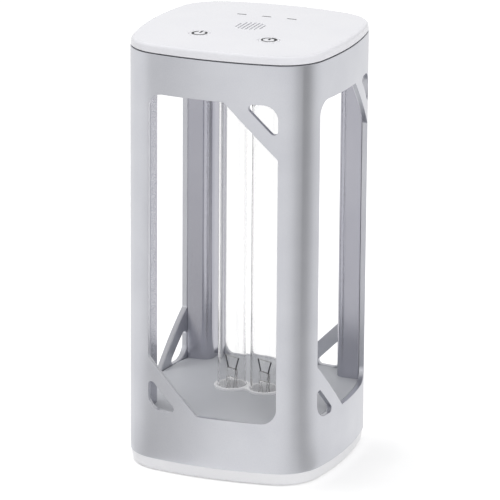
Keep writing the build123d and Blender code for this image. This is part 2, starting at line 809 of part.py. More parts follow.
parts = {
    "frame_shell": make_frame_shell(),
    "floor_plate": make_floor_plate(),
    "ceiling_plate": make_ceiling_plate(),
    "lid_carrier": make_lid_carrier(),
    "lid": make_lid(),
    "power_key": make_key(-key_x),
    "timer_key": make_key(key_x),
    "power_switch": make_switch(-key_x),
    "timer_switch": make_switch(key_x),
    "power_plunger": make_plunger(-key_x),
    "timer_plunger": make_plunger(key_x),
    "control_board": make_control_board(),
    "control_chips": make_control_chips(),
    "speaker": make_speaker(),
    "indicator_guides": make_indicator_guides(),
    "indicator_lights": make_indicator_lights(),
    "motion_sensor": make_motion_sensor(),
    "lamp_tube": make_lamp_tube(),
    "stem_left": make_glass_stem(-1),
    "stem_right": make_glass_stem(1),
    "filament_left": make_filament(-1),
    "filament_right": make_filament(1),
    "lamp_cap": make_lamp_cap(),
    "contact_pins": make_contact_pins(),
    "lamp_socket": make_lamp_socket(),
    "base_tray": make_base_tray(),
    "rubber_feet": make_rubber_feet(),
    "ballast_board": make_ballast_board(),
    "ballast_capacitor": make_ballast_capacitor(),
    "ballast_choke": make_ballast_choke(),
    "film_capacitors": make_film_capacitors(),
    "heat_sink": make_heat_sink(),
    "terminal_block": make_terminal_block(),
    "wire_header": make_wire_header(),
    "wire_bundle": make_wire_bundle(),
    "cord_gland": make_cord_gland(),
    "ceiling_screws": make_screws(ceiling_bottom + plate_thickness, plate_screw_length, -1, boss_places),
    "floor_screws": make_screws(floor_bottom, plate_screw_length, 1, boss_places),
    "control_board_screws": make_screws(control_board_bottom, control_screw_length, 1, control_screw_places),
    "ballast_board_screws": make_screws(ballast_board_top, ballast_screw_length, -1, ballast_screw_places),
    "socket_screws": make_screws(socket_screw_seat(), socket_screw_length, 1, [(-ear_x, 0), (ear_x, 0)]),
}
for quarter, name in enumerate(post_names):
    parts[name] = make_post(quarter)

os.makedirs("parts", exist_ok=True)
for name, solid in parts.items():
    export_step(solid, f"parts/{name}.step")
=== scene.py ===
import json
import math

import bmesh
import bpy
import numpy as np
from mathutils import Matrix, Vector
from mathutils.geometry import delaunay_2d_cdt


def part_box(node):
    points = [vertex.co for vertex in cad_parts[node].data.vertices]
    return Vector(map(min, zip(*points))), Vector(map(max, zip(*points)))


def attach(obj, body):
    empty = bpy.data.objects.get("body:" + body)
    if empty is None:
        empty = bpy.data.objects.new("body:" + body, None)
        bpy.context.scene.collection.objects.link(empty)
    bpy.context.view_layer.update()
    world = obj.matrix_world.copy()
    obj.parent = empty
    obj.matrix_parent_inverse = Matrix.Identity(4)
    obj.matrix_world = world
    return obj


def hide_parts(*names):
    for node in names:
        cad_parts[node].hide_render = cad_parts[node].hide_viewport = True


# Looks of a desk lamp that disinfects with ultraviolet light: a silver frame round a twin tube.
# Shapes are worked out in millimetres and turned to metres when a piece is made.
# The front with the two keys faces -Y, and +Z is up.

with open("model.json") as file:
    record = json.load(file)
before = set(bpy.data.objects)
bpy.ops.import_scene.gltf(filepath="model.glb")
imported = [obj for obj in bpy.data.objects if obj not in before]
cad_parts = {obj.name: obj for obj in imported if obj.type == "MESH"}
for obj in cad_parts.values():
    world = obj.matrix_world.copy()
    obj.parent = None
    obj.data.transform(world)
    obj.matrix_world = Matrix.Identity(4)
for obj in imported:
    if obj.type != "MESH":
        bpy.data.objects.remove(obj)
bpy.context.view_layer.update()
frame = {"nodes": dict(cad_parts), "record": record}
MM = 0.001
QUARTER = math.pi / 2
weld_distance, sliver_length, crease_angle = 2e-6, 1e-7, math.radians(38.0)


def node_box(name):
    """Lowest and highest corner of a CAD node, in millimetres."""
    low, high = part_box(name)
    return np.array(low) / MM, np.array(high) / MM


def levels(name):
    """Lowest and highest level of a CAD node, in millimetres."""
    low, high = node_box(name)
    return low[2], high[2]


# Sizes read from the frame
half_width = node_box("frame_shell")[1][0]
base_top, frame_top = levels("frame_shell")
overall_height = levels("lid")[1]
lid_ceiling = levels("speaker")[1]
floor_bottom, floor_top = levels("floor_plate")
tube_bottom, tube_top = levels("lamp_tube")
tube_radius = node_box("lamp_tube")[1][1]
tube_x = node_box("lamp_tube")[1][0] - tube_radius
cap_bottom, cap_top = levels("lamp_cap")
cap_lobe_radius = node_box("lamp_cap")[1][1]
stem_bottom, pinch_top = levels("stem_left")
key_bottom = levels("power_key")[0]
base_bottom, base_lip_top = levels("base_tray")
pad_top = levels("rubber_feet")[1]
post_low, post_high = levels("post_front_left")

# Plan outline
side_radius, corner_radius = 197.5, 26.0
side_centre = side_radius - half_width
# A corner's centre is side_radius less corner_radius from both sides' centres, so the arcs touch.
corner_reach = corner_radius - side_radius
corner_place = (math.sqrt(2.0 * corner_reach**2 - side_centre**2) - side_centre) / 2.0
side_half_angle = math.atan2(corner_place, corner_place + side_centre)

# Frame and its windows
frame_wall, frame_outer_edge, frame_inner_edge, frame_gap = 3.0, 0.3, 0.5, 0.2
frame_columns, frame_rows, frame_spacing = 43, 60, (2.6, 4.0)
window_half, window_bottom, window_top, window_corner = 38.2, 36.5, 219.3, 8.5
strut_inner_leg, strut_outer_leg = 30.6, 19.5
strut_root_radius, hole_tip_radius = 2.0, 2.2
window_turn = math.asin((window_half - corner_place) / corner_radius)
cell_half = window_half + corner_radius * (QUARTER / 2 - window_turn)

# Corner posts and their screw bosses
post_wall, post_corner, post_edge_radius, post_gap, sharp_corner = 1.8, 6.0, 0.4, 0.05, 0.01
boss_place, boss_radius, boss_height = 43.6, 4.0, 12.0

# Chamber floor and the tube's collar
floor_edge, screw_hole_radius = 0.4, 1.7
collar_edge, cap_skirt_radius, cap_gap = 0.5, 8.95, 0.1
rib_count, rib_height, rib_gap = 32, 0.7, 0.15
bore_lip, bore_lip_middle = 0.15, 0.04
well_radius, well_floor = 5.0, 2.0

# Tube, stems and filaments
tube_wall, shoulder = 0.8, tube_top - tube_radius
leg_columns, leg_spacing, leg_levels = 73, (1.1, 1.3), (-120.0, -60.0, -10.0)
bridge_z, bridge_radius, bridge_fillet = 206.0, 3.2, 1.0
stem_wall, stem_gap, stem_lip, stem_neck_radius = 0.45, 0.05, 0.7, 3.0
flare_curve, flare_rise = 2.6, 1.15
pinch_bottom, pinch_length, pinch_thickness = 41.5, 8.4, 1.9
neck_top, blend_length = pinch_bottom - 3.5, 4.0
electrode_turn = math.radians(-24.0)
lead_radius, lead_spread_low, lead_spread_high = 0.3, 3.2, 5.2
lower_lead_radius, upper_lead_radius = 0.1, 0.42
coil_rod_radius, coil_radius, coil_wire, coil_turns = 0.45, 0.28, 0.07, 24
lead_tip = levels("filament_left")[1] - (coil_rod_radius - lead_radius)

# Lid, keys and light guides
lid_gap, lid_draft, lid_wall, lid_lean = 0.15, math.radians(6.0), 2.2, 0.5
lid_bottom = frame_top + 0.6
lid_edge_radius, lid_foot_edge = 1.8, 0.3
opening_edge, opening_edge_middle, to_ceiling = 0.06, 0.02, 2.0
lid_skirt_inset, lid_skirt_wall, lid_skirt_depth, lid_skirt_root = 4.95, 1.5, 6.0, 0.2
crown_rise = 1.1
crown_radius = half_width**2 / (2.0 * crown_rise)
key_x, key_y, key_radius, key_gap = 20.5, -25.0, 6.0, 0.12
key_flange_radius, key_flange, key_flange_gap, key_stem_radius = 7.2, 0.8, 0.05, 1.6
ring_radius, stroke = 3.85, 1.35
slit_y, slit_pitch, slit_length, slit_width = 25.0, 15.0, 5.7, 1.3
guide_gap, guide_sunk, guide_foot_rim, guide_foot_width, guide_foot = 0.1, 0.01, 1.5, 2.6, 1.6
grille_radius, grille_pitch, grille_slot_width, grille_half_count = 8.6, 2.4, 0.9, 3

# Base, feet and cord gland
base_bottom_inset, base_top_inset, base_edge_radius, base_top_edge = 1.5, 0.25, 1.4, 0.2
base_wall_inset, base_floor, base_lip_edge = 4.9, 2.2, 0.3
vent_length, vent_width, vent_pitch, vent_half_count = 26.0, 2.0, 5.0, 4
foot_place, foot_radius, foot_recess, foot_gap = 38.0, 6.0, 0.9, 0.15
gland_z, gland_hole_width, gland_hole_corner = 21.0, 15.0, 3.5
gland_gap, gland_bore_radius, gland_length, gland_recess = 0.15, 3.2, 12.0, 0.3
gland_flange, gland_flange_thickness, gland_neck_inset = 1.6, 2.2, 2.3
gland_edge, gland_edge_in, gland_edge_back, gland_mouth = 0.5, 0.15, 0.12, 0.4


def points_of(*coordinates):
    """Points from their coordinates, each an array or one number for them all."""
    return np.stack(np.broadcast_arrays(*coordinates), -1)


def direction(turn):
    """Unit vectors (cos, sin) at angles from +X towards +Y."""
    return points_of(np.cos(turn), np.sin(turn))


def full_turn(steps):
    """Even angles once round."""
    return np.linspace(0, 2 * math.pi, steps, endpoint=False)


def plan(turn, inset):
    """Plan outline moved inwards: a point whose outward normal has turned by turn from -Y.

    Within side_half_angle of each quarter turn it lies on the side's large arc, and otherwise
    on the corner's arc: centre plus radius times (sin, -cos) of the turn.
    """
    quarter = np.round(turn / QUARTER)
    local = turn - quarter * QUARTER
    on_side = np.abs(local) <= side_half_angle + 1e-9
    reach = np.where(on_side, side_radius, corner_radius) - inset
    x = np.where(on_side, 0.0, np.sign(local) * corner_place) + reach * np.sin(local)
    y = np.where(on_side, side_centre, -corner_place) - reach * np.cos(local)
    cosine, sine = np.cos(quarter * QUARTER), np.sin(quarter * QUARTER)
    return points_of(cosine * x - sine * y, sine * x + cosine * y)


def plan_turns(side_steps=24, corner_steps=18):
    """Turns at which the whole outline is sampled, dense where the corners bend."""
    side = np.linspace(-side_half_angle, side_half_angle, side_steps, endpoint=False)
    corner = np.linspace(side_half_angle, QUARTER - side_half_angle, corner_steps, endpoint=False)
    one = np.concatenate([side, corner])
    return np.concatenate([one + quarter * QUARTER for quarter in range(4)])


TURNS = plan_turns()


def plan_loop(inset):
    """The body's plan outline as a loop with its outward normals."""
    return plan(TURNS, inset), points_of(np.sin(TURNS), -np.cos(TURNS))


def at_height(flat, height):
    """Plan points lifted to a height, one number or one for each point."""
    return points_of(flat[..., 0], flat[..., 1], height)


def level(height):
    """What puts plan points at one height."""
    return lambda flat: at_height(flat, height)


def grid_patch(points, wrap_rows=False, wrap_columns=True):
    """Quads between the neighbours of a grid of points, given as rows by columns by 3."""
    rows, columns = points.shape[:2]
    index = np.arange(rows * columns).reshape(rows, columns)
    if wrap_rows:
        index = np.vstack([index, index[:1]])
    if wrap_columns:
        index = np.hstack([index, index[:, :1]])
    quads = points_of(index[:-1, :-1], index[:-1, 1:], index[1:, 1:], index[1:, :-1])
    return points.reshape(-1, 3), quads.reshape(-1, 4)


def wall_patch(profile, closed=False):
    """Wall round the plan outline: row r is the outline at inset profile[r, 0], height profile[r, 1].

    A closed one joins its last row to its first, so the profile is the section of a ring.
    """
    profile = np.asarray(profile, float)
    return grid_patch(at_height(plan(TURNS, profile[:, :1]), profile[:, 1:]), closed)


def lathe_rows(profile, x, y, steps):
    """Rows of points: a profile of (radius, height) points turned about the upright line through x, y."""
    profile = np.asarray(profile, float)
    return at_height(np.array([x, y]) + profile[:, :1, None] * direction(full_turn(steps)), profile[:, 1:])


def tube_patch(path, across, radius, sides=10):
    """Round bar along a path of points, where across is a direction square to it, for all or for each.

    A point of the bar is the path's point plus radius times (cos(turn) times across plus sin(turn)
    times the direction square to across and to the path). Each end closes on a point.
    """
    along = np.gradient(path, axis=0)
    along /= np.linalg.norm(along, axis=1, keepdims=True)
    across = np.broadcast_to(np.asarray(across, float), path.shape)
    square = np.cross(along, across)
    turn = full_turn(sides)[None, :, None]
    ring = path[:, None] + radius * (np.cos(turn) * across[:, None] + np.sin(turn) * square[:, None])
    ends = [np.broadcast_to(path[end], (1, sides, 3)) for end in (0, -1)]
    return grid_patch(np.concatenate([ends[0], ring, ends[1]]))


def rounded_loop(corners, radii, spacing):
    """Closed path round a polygon, counter-clockwise, with a tangent arc at each corner.

    Returns its points and their outward normals, so that point plus offset times normal
    is the same path grown by that offset. On an arc the normal turns evenly from one
    side's to the next, and the point is the arc's centre plus or minus radius times normal.
    """
    corners = np.asarray(corners, float)
    before, after = np.roll(corners, 1, 0), np.roll(corners, -1, 0)
    into = (corners - before) / np.linalg.norm(corners - before, axis=1, keepdims=True)
    out = (after - corners) / np.linalg.norm(after - corners, axis=1, keepdims=True)
    bend = np.arctan2(into[:, 0] * out[:, 1] - into[:, 1] * out[:, 0], (into * out).sum(1))
    reach = np.asarray(radii) * np.tan(np.abs(bend) / 2)
    points, normals = [], []
    for i in range(len(corners)):
        right = np.array([into[i, 1], -into[i, 0]])
        start = corners[i] - into[i] * reach[i]
        centre = start - np.sign(bend[i]) * radii[i] * right
        turn = np.linspace(0, bend[i], 4 + int(abs(bend[i]) * max(radii[i], 1.0) / 0.6))
        normal = points_of(right[0] * np.cos(turn) - right[1] * np.sin(turn),
                           right[0] * np.sin(turn) + right[1] * np.cos(turn))
        following = (i + 1) % len(corners)
        first, last = corners[i] + out[i] * reach[i], corners[following] - out[i] * reach[following]
        inner_count = int(np.linalg.norm(last - first) / spacing)
        share = np.linspace(0, 1, inner_count + 2)[1:-1, None]
        points += [centre + np.sign(bend[i]) * radii[i] * normal, first + share * (last - first)]
        normals += [normal, np.repeat([[out[i, 1], -out[i, 0]]], inner_count, 0)]
    return np.vstack(points), np.vstack(normals)


def round_loop(x, y, radius, steps=48):
    """Circle about x, y with its outward normals."""
    normal = direction(full_turn(steps))
    return np.array([x, y]) + radius * normal, normal


def slot_loop(x, y, length, width, upright=False, steps=9):
    """Slot with half-round ends, along X or upright along Y, with its outward normals."""
    turn = np.concatenate([np.linspace(-QUARTER, QUARTER, steps), np.linspace(QUARTER, 3 * QUARTER, steps)])
    end = np.repeat([1.0, -1.0], steps)[:, None]
    axis, across = np.array([[0.0, 1.0], [-1.0, 0.0]] if upright else [[1.0, 0.0], [0.0, 1.0]])
    normal = np.cos(turn)[:, None] * axis + np.sin(turn)[:, None] * across
    return np.array([x, y]) + end * axis * (length - width) / 2 + normal * width / 2, normal


def grown(loop, offset):
    """Points of a loop moved outwards along its normals."""
    return loop[0] + offset * loop[1]


def box_border(columns, rows):
    """Border of a rectangle, counter-clockwise, with points at its columns and rows."""
    inner = rows[1:-1]
    return np.vstack([points_of(columns, rows[0]), points_of(columns[-1], inner),
                      points_of(columns[::-1], rows[-1]), points_of(columns[0], inner[::-1])])


def inside(points, loop):
    """True where a point lies inside a loop: a ray towards +X crosses it an odd number of times."""
    x, y = points[:, :1], points[:, 1:]
    x0, y0 = loop.T
    x1, y1 = np.roll(loop, -1, 0).T
    crosses = (y0 > y) != (y1 > y)
    meets = x0 + (y - y0) * (x1 - x0) / np.where(y1 == y0, 1.0, y1 - y0)
    return (crosses & (x < meets)).sum(1) % 2 == 1


def sheet_patch(border, holes, step, place):
    """Triangles that fill the border but not the holes, then placed in space.

    A grid of points, step apart (one number, or one for each way) and clear of every loop by
    nearly half a step, keeps the triangles even. Those whose middle is outside the border or in
    a hole are dropped.
    """
    scale = np.array([1.0, 1.0]) * step
    first, high = border.min(0) + scale / 2, border.max(0)
    columns, rows = (np.arange(first[i], high[i], scale[i]) for i in (0, 1))
    grid = points_of(columns, rows[:, None]).reshape(-1, 2)
    loops, edges, start = [border] + holes, [], 0
    for loop in loops:
        gap = np.linalg.norm((grid[:, None] - loop[None]) / scale, axis=2).min(1)
        grid = grid[gap > 0.45]
        index = start + np.arange(len(loop))
        edges.append(points_of(index, np.roll(index, -1)))
        start += len(loop)
    points = np.vstack(loops + [grid])
    flat, _, faces, *_ = delaunay_2d_cdt(points.tolist(), np.vstack(edges).tolist(), [], 0, 1e-7)
    flat, faces = np.array(flat, float), np.array(faces)
    middle = flat[faces].mean(1)
    keep = inside(middle, border)
    for hole in holes:
        keep &= ~inside(middle, hole)
    return place(flat), faces[keep]


def strip_patch(loop, profile, place=at_height):
    """Strip along a closed loop: row r is the loop grown by profile[r, 0] and placed at profile[r, 1]."""
    profile = np.asarray(profile, float)
    flat = loop[0][None] + profile[:, :1, None] * loop[1][None]
    return grid_patch(place(flat, profile[:, 1:]))


def edge_arc(radius, steps=5):
    """Quarter round as (across, down) points: it leaves a flat face and ends square to it."""
    turn = np.linspace(0, QUARTER, steps if radius else 1)
    return radius * points_of(np.sin(turn), 1 - np.cos(turn))


def upper_edge(edge, high):
    """Profile of a rounded upper edge, as (offset, height) points from the top face outwards."""
    return edge_arc(edge) * (1, -1) + (-edge, high)


def plate_patches(border, holes, low, high, step, edge=0.0):
    """Flat plate between two heights, with holes through it; its upper edges are rounded by edge."""
    section = np.vstack([upper_edge(edge, high), [[0.0, low]]])
    return [
        sheet_patch(grown(border, -edge), [grown(hole, edge) for hole in holes], step, level(high)),
        sheet_patch(border[0], [hole[0] for hole in holes], step, level(low)),
        strip_patch(border, section),
    ] + [strip_patch(hole, section * (-1, 1)) for hole in holes]


def turned(patch, quarters):
    """Patch turned about the upright axis by whole quarter turns."""
    points, faces = patch
    x, y, z = points.T
    return points_of((x, -y, -x, y)[quarters], (y, x, -y, -x)[quarters], z), faces


def spun(patch, turn, x):
    """Patch turned about the upright axis by turn, then moved along X."""
    points, faces = patch
    cosine, sine = math.cos(turn), math.sin(turn)
    spin = np.array([[cosine, sine, 0], [-sine, cosine, 0], [0, 0, 1]])
    return points @ spin + np.array([x, 0, 0]), faces


def mirrored(patch):
    """Patch mirrored left to right."""
    points, faces = patch
    return points * np.array([-1, 1, 1]), faces[:, ::-1]


# Materials

cloud_width = 25.0


def srgb(code):
    """Linear colour of an sRGB hex code such as BDBEC3."""
    value = np.array([int(code[i:i + 2], 16) for i in (0, 2, 4)]) / 255
    linear = np.where(value <= 0.04045, value / 12.92, ((value + 0.055) / 1.055) ** 2.4)
    return (*linear.tolist(), 1.0)


def add_node(tree, kind, inputs=None, **settings):
    """Adds a shader node, sets its properties and sockets, and links a socket given another's output."""
    node = tree.nodes.new("ShaderNode" + kind)
    for key, value in settings.items():
        setattr(node, key, value)
    for key, value in (inputs or {}).items():
        if isinstance(value, bpy.types.NodeSocket):
            tree.links.new(value, node.inputs[key])
        else:
            node.inputs[key].default_value = value
    return node


def empty_material(name):
    """New material and its empty node tree."""
    material = bpy.data.materials.new(name)
    material.use_nodes = True
    material.node_tree.nodes.clear()
    return material, material.node_tree


def finish(name, light, dark, grain, rough, bump, metallic=0.0, stretch=(1, 1, 1), **sockets):
    """Surface whose colour wanders between two near tones and whose gloss and height follow a grain.

    grain is the width of the grain as it is drawn, in millimetres, rough the lowest and highest
    roughness, and bump the grain's height in millimetres. The tone adds clouds to the grain, of
    cloud_width. Other named sockets of the shader are set as they are.
    """
    material, tree = empty_material(name)
    place = add_node(tree, "TexCoord").outputs["Object"]
    if stretch != (1, 1, 1):
        place = add_node(tree, "Mapping", {"Vector": place, "Scale": stretch}).outputs["Vector"]
    fine = add_node(tree, "TexNoise",
                    {"Vector": place, "Scale": 1 / (grain * MM), "Detail": 3.0, "Roughness": 0.6})
    broad = add_node(tree, "TexNoise", {"Vector": place, "Scale": 1 / (cloud_width * MM), "Detail": 2.0})
    blend = add_node(tree, "Math", {0: fine.outputs["Fac"], 1: broad.outputs["Fac"]}, operation="ADD")
    tone = add_node(tree, "MapRange", {"Value": blend.outputs[0], "From Min": 0.7, "From Max": 1.3})
    colour = add_node(tree, "Mix",
                      {"Factor": tone.outputs["Result"], "A": srgb(dark), "B": srgb(light)}, data_type="RGBA")
    gloss = add_node(tree, "MapRange",
                     {"Value": fine.outputs["Fac"], "From Min": 0.3, "From Max": 0.7,
                      "To Min": rough[0], "To Max": rough[1]})
    relief = add_node(tree, "Bump",
                      {"Height": fine.outputs["Fac"], "Strength": 1.0, "Distance": bump * MM})
    shader = add_node(tree, "BsdfPrincipled",
                      {"Base Color": colour.outputs["Result"], "Roughness": gloss.outputs["Result"],
                       "Metallic": metallic, "Normal": relief.outputs["Normal"], **sockets})
    add_node(tree, "OutputMaterial", {"Surface": shader.outputs[0]})
    return material


def quartz_glass(name, rough, density):
    """Fused quartz: nearly colourless, with faint drawing lines, and a little darker where it is thick.

    density is the absorption per metre of glass.
    """
    material, tree = empty_material(name)
    place = add_node(tree, "TexCoord").outputs["Object"]
    along = add_node(tree, "Mapping", {"Vector": place, "Scale": (1, 1, 0.05)})
    lines = add_node(tree, "TexNoise",
                     {"Vector": along.outputs[0], "Scale": 1 / (2 * MM), "Detail": 1.0})
    relief = add_node(tree, "Bump",
                      {"Height": lines.outputs["Fac"], "Strength": 0.3, "Distance": 0.004 * MM})
    shader = add_node(tree, "BsdfPrincipled",
                      {"Base Color": srgb("FFFFFF"), "Roughness": rough, "Transmission Weight": 1.0,
                       "IOR": 1.458, "Normal": relief.outputs["Normal"]})
    dimming = add_node(tree, "VolumeAbsorption", {"Color": (0, 0, 0, 1), "Density": density})
    add_node(tree, "OutputMaterial", {"Surface": shader.outputs[0], "Volume": dimming.outputs[0]})
    return material


# White ABS of the lid and the keys, moulded in a polished tool: bright, nearly smooth.
lid_abs = finish("polished_white_abs", "F0F0F4", "ECECF1", 0.8, (0.20, 0.24), 0.001, IOR=1.54)
# Pad-printed dark grey ink, slightly matt on the glossy lid.
ink = finish("pad_printed_grey_ink", "222326", "1C1D20", 0.4, (0.45, 0.55), 0.001)
# Tungsten of the filament coil under its white emitting coat: pale and matt.
tungsten = finish("coated_tungsten_coil", "C4C3C0", "B4B3B0", 0.2, (0.5, 0.7), 0.01)
# The stems' quartz, pressed flat while soft, which leaves a finely rippled skin.
pressed_quartz = quartz_glass("pressed_fused_quartz", 0.22, 10.0)
# The finish of each slot of the record
finishes = {
    # Bead-blasted and clear-anodised aluminium: an even silvery bloom with a fine grit. The real
    # grit is about 0.1 mm, and it is drawn at 0.5 mm so that it shows.
    "frame_silver": finish("bead_blasted_anodised_aluminium", "D4D5DA", "CBCCD2", 0.5, (0.28, 0.34), 0.004,
                           metallic=1.0),
    # Satin grey paint on the steel floor: smooth and a little glossy, duller than the frame.
    "floor_metal": finish("satin_grey_paint", "C8CACF", "C4C6CB", 0.6, (0.40, 0.46), 0.0004),
    # Silver paint on the moulded ABS posts: nearly the frame's sheen, and a little smoother.
    "post_grey": finish("silver_painted_abs", "BBBBC3", "B5B5BE", 0.6, (0.20, 0.25), 0.002, metallic=1.0),
    "lid_white": lid_abs,
    "key_white": lid_abs,
    # White ABS of the base, from a satin tool: softer in gloss than the lid.
    "base_white": finish("satin_white_abs", "FAFAFC", "F6F6F9", 0.7, (0.32, 0.40), 0.003, IOR=1.54),
    # Dark grey glass-filled nylon of the lid's carrier, matt in the seam. Its dark tone is partly painted
    # shade: it also stands in for the shadow in the seam under the lid.
    "seam_black": finish("grey_nylon_and_painted_seam_shade", "6E6F74", "626368", 0.5, (0.5, 0.6), 0.01),
    # Smoked polycarbonate of the light guides, frosted at the top: nearly black, and dull.
    "guide_clear": finish("smoked_polycarbonate", "1E1F22", "191A1C", 0.5, (0.55, 0.65), 0.002,
                          **{"Specular IOR Level": 0.2}),
    # Drawn quartz tube, clear and smooth.
    "tube_glass": quartz_glass("clear_fused_quartz", 0.0, 60.0),
    # White PBT of the tube's cap, with a light gloss.
    "cap_white": finish("white_pbt", "FAFAFB", "F6F6F8", 0.6, (0.22, 0.30), 0.002, IOR=1.55),
    # Nickel of the lead wires: dark and dull after heating.
    "filament_wire": finish("dull_nickel_wire", "55565B", "434449", 0.3, (0.35, 0.5), 0.004, metallic=0.8),
    # Grey rubber of the feet: matt, with a fine bloom.
    "foot_rubber": finish("grey_moulded_rubber", "8A8B8D", "7E7F81", 0.5, (0.65, 0.78), 0.01),
    # Paler rubber of the cord gland, nearly as matt as the feet.
    "gland_rubber": finish("pale_moulded_rubber", "CFCFD1", "C4C4C7", 0.5, (0.6, 0.72), 0.01),
    # Green solder mask over fibreglass: an uneven gloss.
    "circuit_board": finish("green_solder_mask", "1F5A3A", "184A30", 0.9, (0.28, 0.4), 0.01),
    # Black epoxy of the chips: matt, from a blasted mould.
    "chip_black": finish("black_epoxy", "26272A", "1D1E20", 0.4, (0.45, 0.6), 0.008),
    # Black enamel on the speaker's steel can: a low, even gloss.
    "speaker_black": finish("black_enamelled_steel", "2C2D30", "232427", 0.6, (0.4, 0.5), 0.004),
    # Black nylon of the switches: matt.
    "switch_black": finish("black_nylon", "2B2C2E", "222325", 0.4, (0.5, 0.62), 0.006),
    # Ivory acetal of the plungers: waxy, with a soft gloss.
    "plunger_ivory": finish("ivory_acetal", "E3DCC9", "D8D0BC", 0.5, (0.3, 0.4), 0.003),
    # Milky epoxy of the indicator lights: smooth and glossy.
    "light_white": finish("clear_led_epoxy", "EDEBDD", "E2DFCF", 0.4, (0.12, 0.2), 0.001),
    # White glass-filled PBT of the lamp's socket: matt.
    "socket_white": finish("white_glass_filled_pbt", "E2E2DE", "D6D6D1", 0.5, (0.4, 0.5), 0.006),
    # Turned brass of the contact pins: bright, with fine lines round them.
    "pin_brass": finish("turned_brass", "D9BC6E", "C7A857", 0.2, (0.2, 0.32), 0.002, metallic=1.0,
                        stretch=(1, 1, 8)),
    # Blue shrink sleeve of the large capacitor: smooth and glossy.
    "sleeve_blue": finish("blue_shrink_sleeve", "2C3A74", "232F62", 1.2, (0.2, 0.3), 0.004),
    # Sintered ferrite of the choke: dark and dull, like stoneware.
    "ferrite_grey": finish("sintered_ferrite", "4A4A4D", "3C3C3F", 0.5, (0.5, 0.65), 0.012),
    # Red resin that the film capacitors are dipped in: thick and glossy.
    "film_red": finish("red_dipped_resin", "9C3A22", "8A301B", 0.9, (0.15, 0.25), 0.006),
    # Mill-finish aluminium of the heat sink: a soft metal gloss with upright drawing lines.
    "sink_aluminium": finish("mill_finish_aluminium", "C4C4C4", "B2B2B2", 0.4, (0.3, 0.42), 0.004,
                             metallic=1.0, stretch=(1, 1, 0.1)),
    # Braided sleeve of the wires: pale, with the braid's coarse relief.
    "wire_sleeve": finish("braided_wire_sleeve", "D5D5D6", "BDBDBF", 0.6, (0.45, 0.6), 0.05),
    # Zinc on the steel screws: bright and a little cloudy.
    "screw_steel": finish("zinc_plated_steel", "B9BBBE", "A6A8AC", 0.3, (0.22, 0.36), 0.003, metallic=1.0),
}
for row in frame["record"]["subparts"]:
    node_mesh = frame["nodes"][row["node"]].data
    node_mesh.materials.clear()
    node_mesh.materials.append(finishes[row["material_slot"]])


def put_in_scene(name, data):
    """New object at the origin for a mesh, lamp or camera."""
    item = bpy.data.objects.new(name, data)
    bpy.context.scene.collection.objects.link(item)
    return item


def make_piece(name, patches, slot, body="body", replaces=(), material=None):
    """Joins patches to one smooth mesh, welds them, turns its faces outwards and puts it in the scene."""
    vertices, faces, start = [], [], 0
    for points, corners in patches:
        vertices.append(points * MM)
        faces += (corners + start).tolist()
        start += len(points)
    mesh = bpy.data.meshes.new(name)
    mesh.from_pydata(np.vstack(vertices).tolist(), [], faces)
    shape = bmesh.new()
    shape.from_mesh(mesh)
    bmesh.ops.remove_doubles(shape, verts=shape.verts, dist=weld_distance)
    bmesh.ops.dissolve_degenerate(shape, edges=shape.edges, dist=sliver_length)
    bmesh.ops.recalc_face_normals(shape, faces=shape.faces)
    shape.to_mesh(mesh)
    shape.free()
    mesh.shade_smooth()
    mesh.set_sharp_from_angle(angle=crease_angle)
    mesh.materials.append(material or finishes[slot])
    piece = put_in_scene(name, mesh)
    piece.modifiers.new("even_shading", "WEIGHTED_NORMAL").keep_sharp = True
    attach(piece, body)
    if replaces:
        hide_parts(*replaces)
    return piece


# Silver frame

def window_loops():
    """The main opening and the two small holes beside its struts, seen flat from outside."""
    half, low, high = window_half, window_bottom, window_top
    root, corner, tip = strut_root_radius, window_corner, hole_tip_radius
    main = [(-half + strut_inner_leg, low), (half, low), (half, high - strut_inner_leg),
            (half - strut_inner_leg, high), (-half, high), (-half, low + strut_inner_leg)]
    upper = [(half, high), (half - strut_outer_leg, high), (half, high - strut_outer_leg)]
    lower = [(-half, low), (-half + strut_outer_leg, low), (-half, low + strut_outer_leg)]
    return [rounded_loop(main, [root, corner, root, root, corner, root], 3.0),
            rounded_loop(upper, [corner, tip, tip], 3.0), rounded_loop(lower, [corner, tip, tip], 3.0)]


def gland_loop():
    """Square hole with rounded corners where the cord gland sits, seen flat from outside."""
    half = gland_hole_width / 2
    corners = [(-half, -half), (half, -half), (half, half), (-half, half)]
    return rounded_loop(np.array(corners) + (0, gland_z), [gland_hole_corner] * 4, 1.0)


def on_side_wall(flat, depth):
    """Point of the front wall, depth under its outer surface, from its place (a, height).

    Across the window a is simply X, and Y follows the bulged side or the corner's arc. Beyond
    it the corner's arc turns in proportion to a, so that the wall ends on the diagonal.
    """
    reach, side = np.abs(flat[..., 0]), np.sign(flat[..., 0])
    large, small = side_radius - depth, corner_radius - depth
    first = np.arcsin((window_half - corner_place) / small)
    turn = first + (reach - window_half) / (cell_half - window_half) * (QUARTER / 2 - first)
    near = np.minimum(reach, window_half)
    off_centre = np.maximum(near - corner_place, 0)
    y_side = np.where(near <= large * math.sin(side_half_angle),
                      side_centre - np.sqrt(large**2 - near**2),
                      -corner_place - np.sqrt(small**2 - off_centre**2))
    across = reach <= window_half
    x = np.where(across, reach, corner_place + small * np.sin(turn))
    y = np.where(across, y_side, -corner_place - small * np.cos(turn))
    return points_of(side * x, y, flat[..., 1])


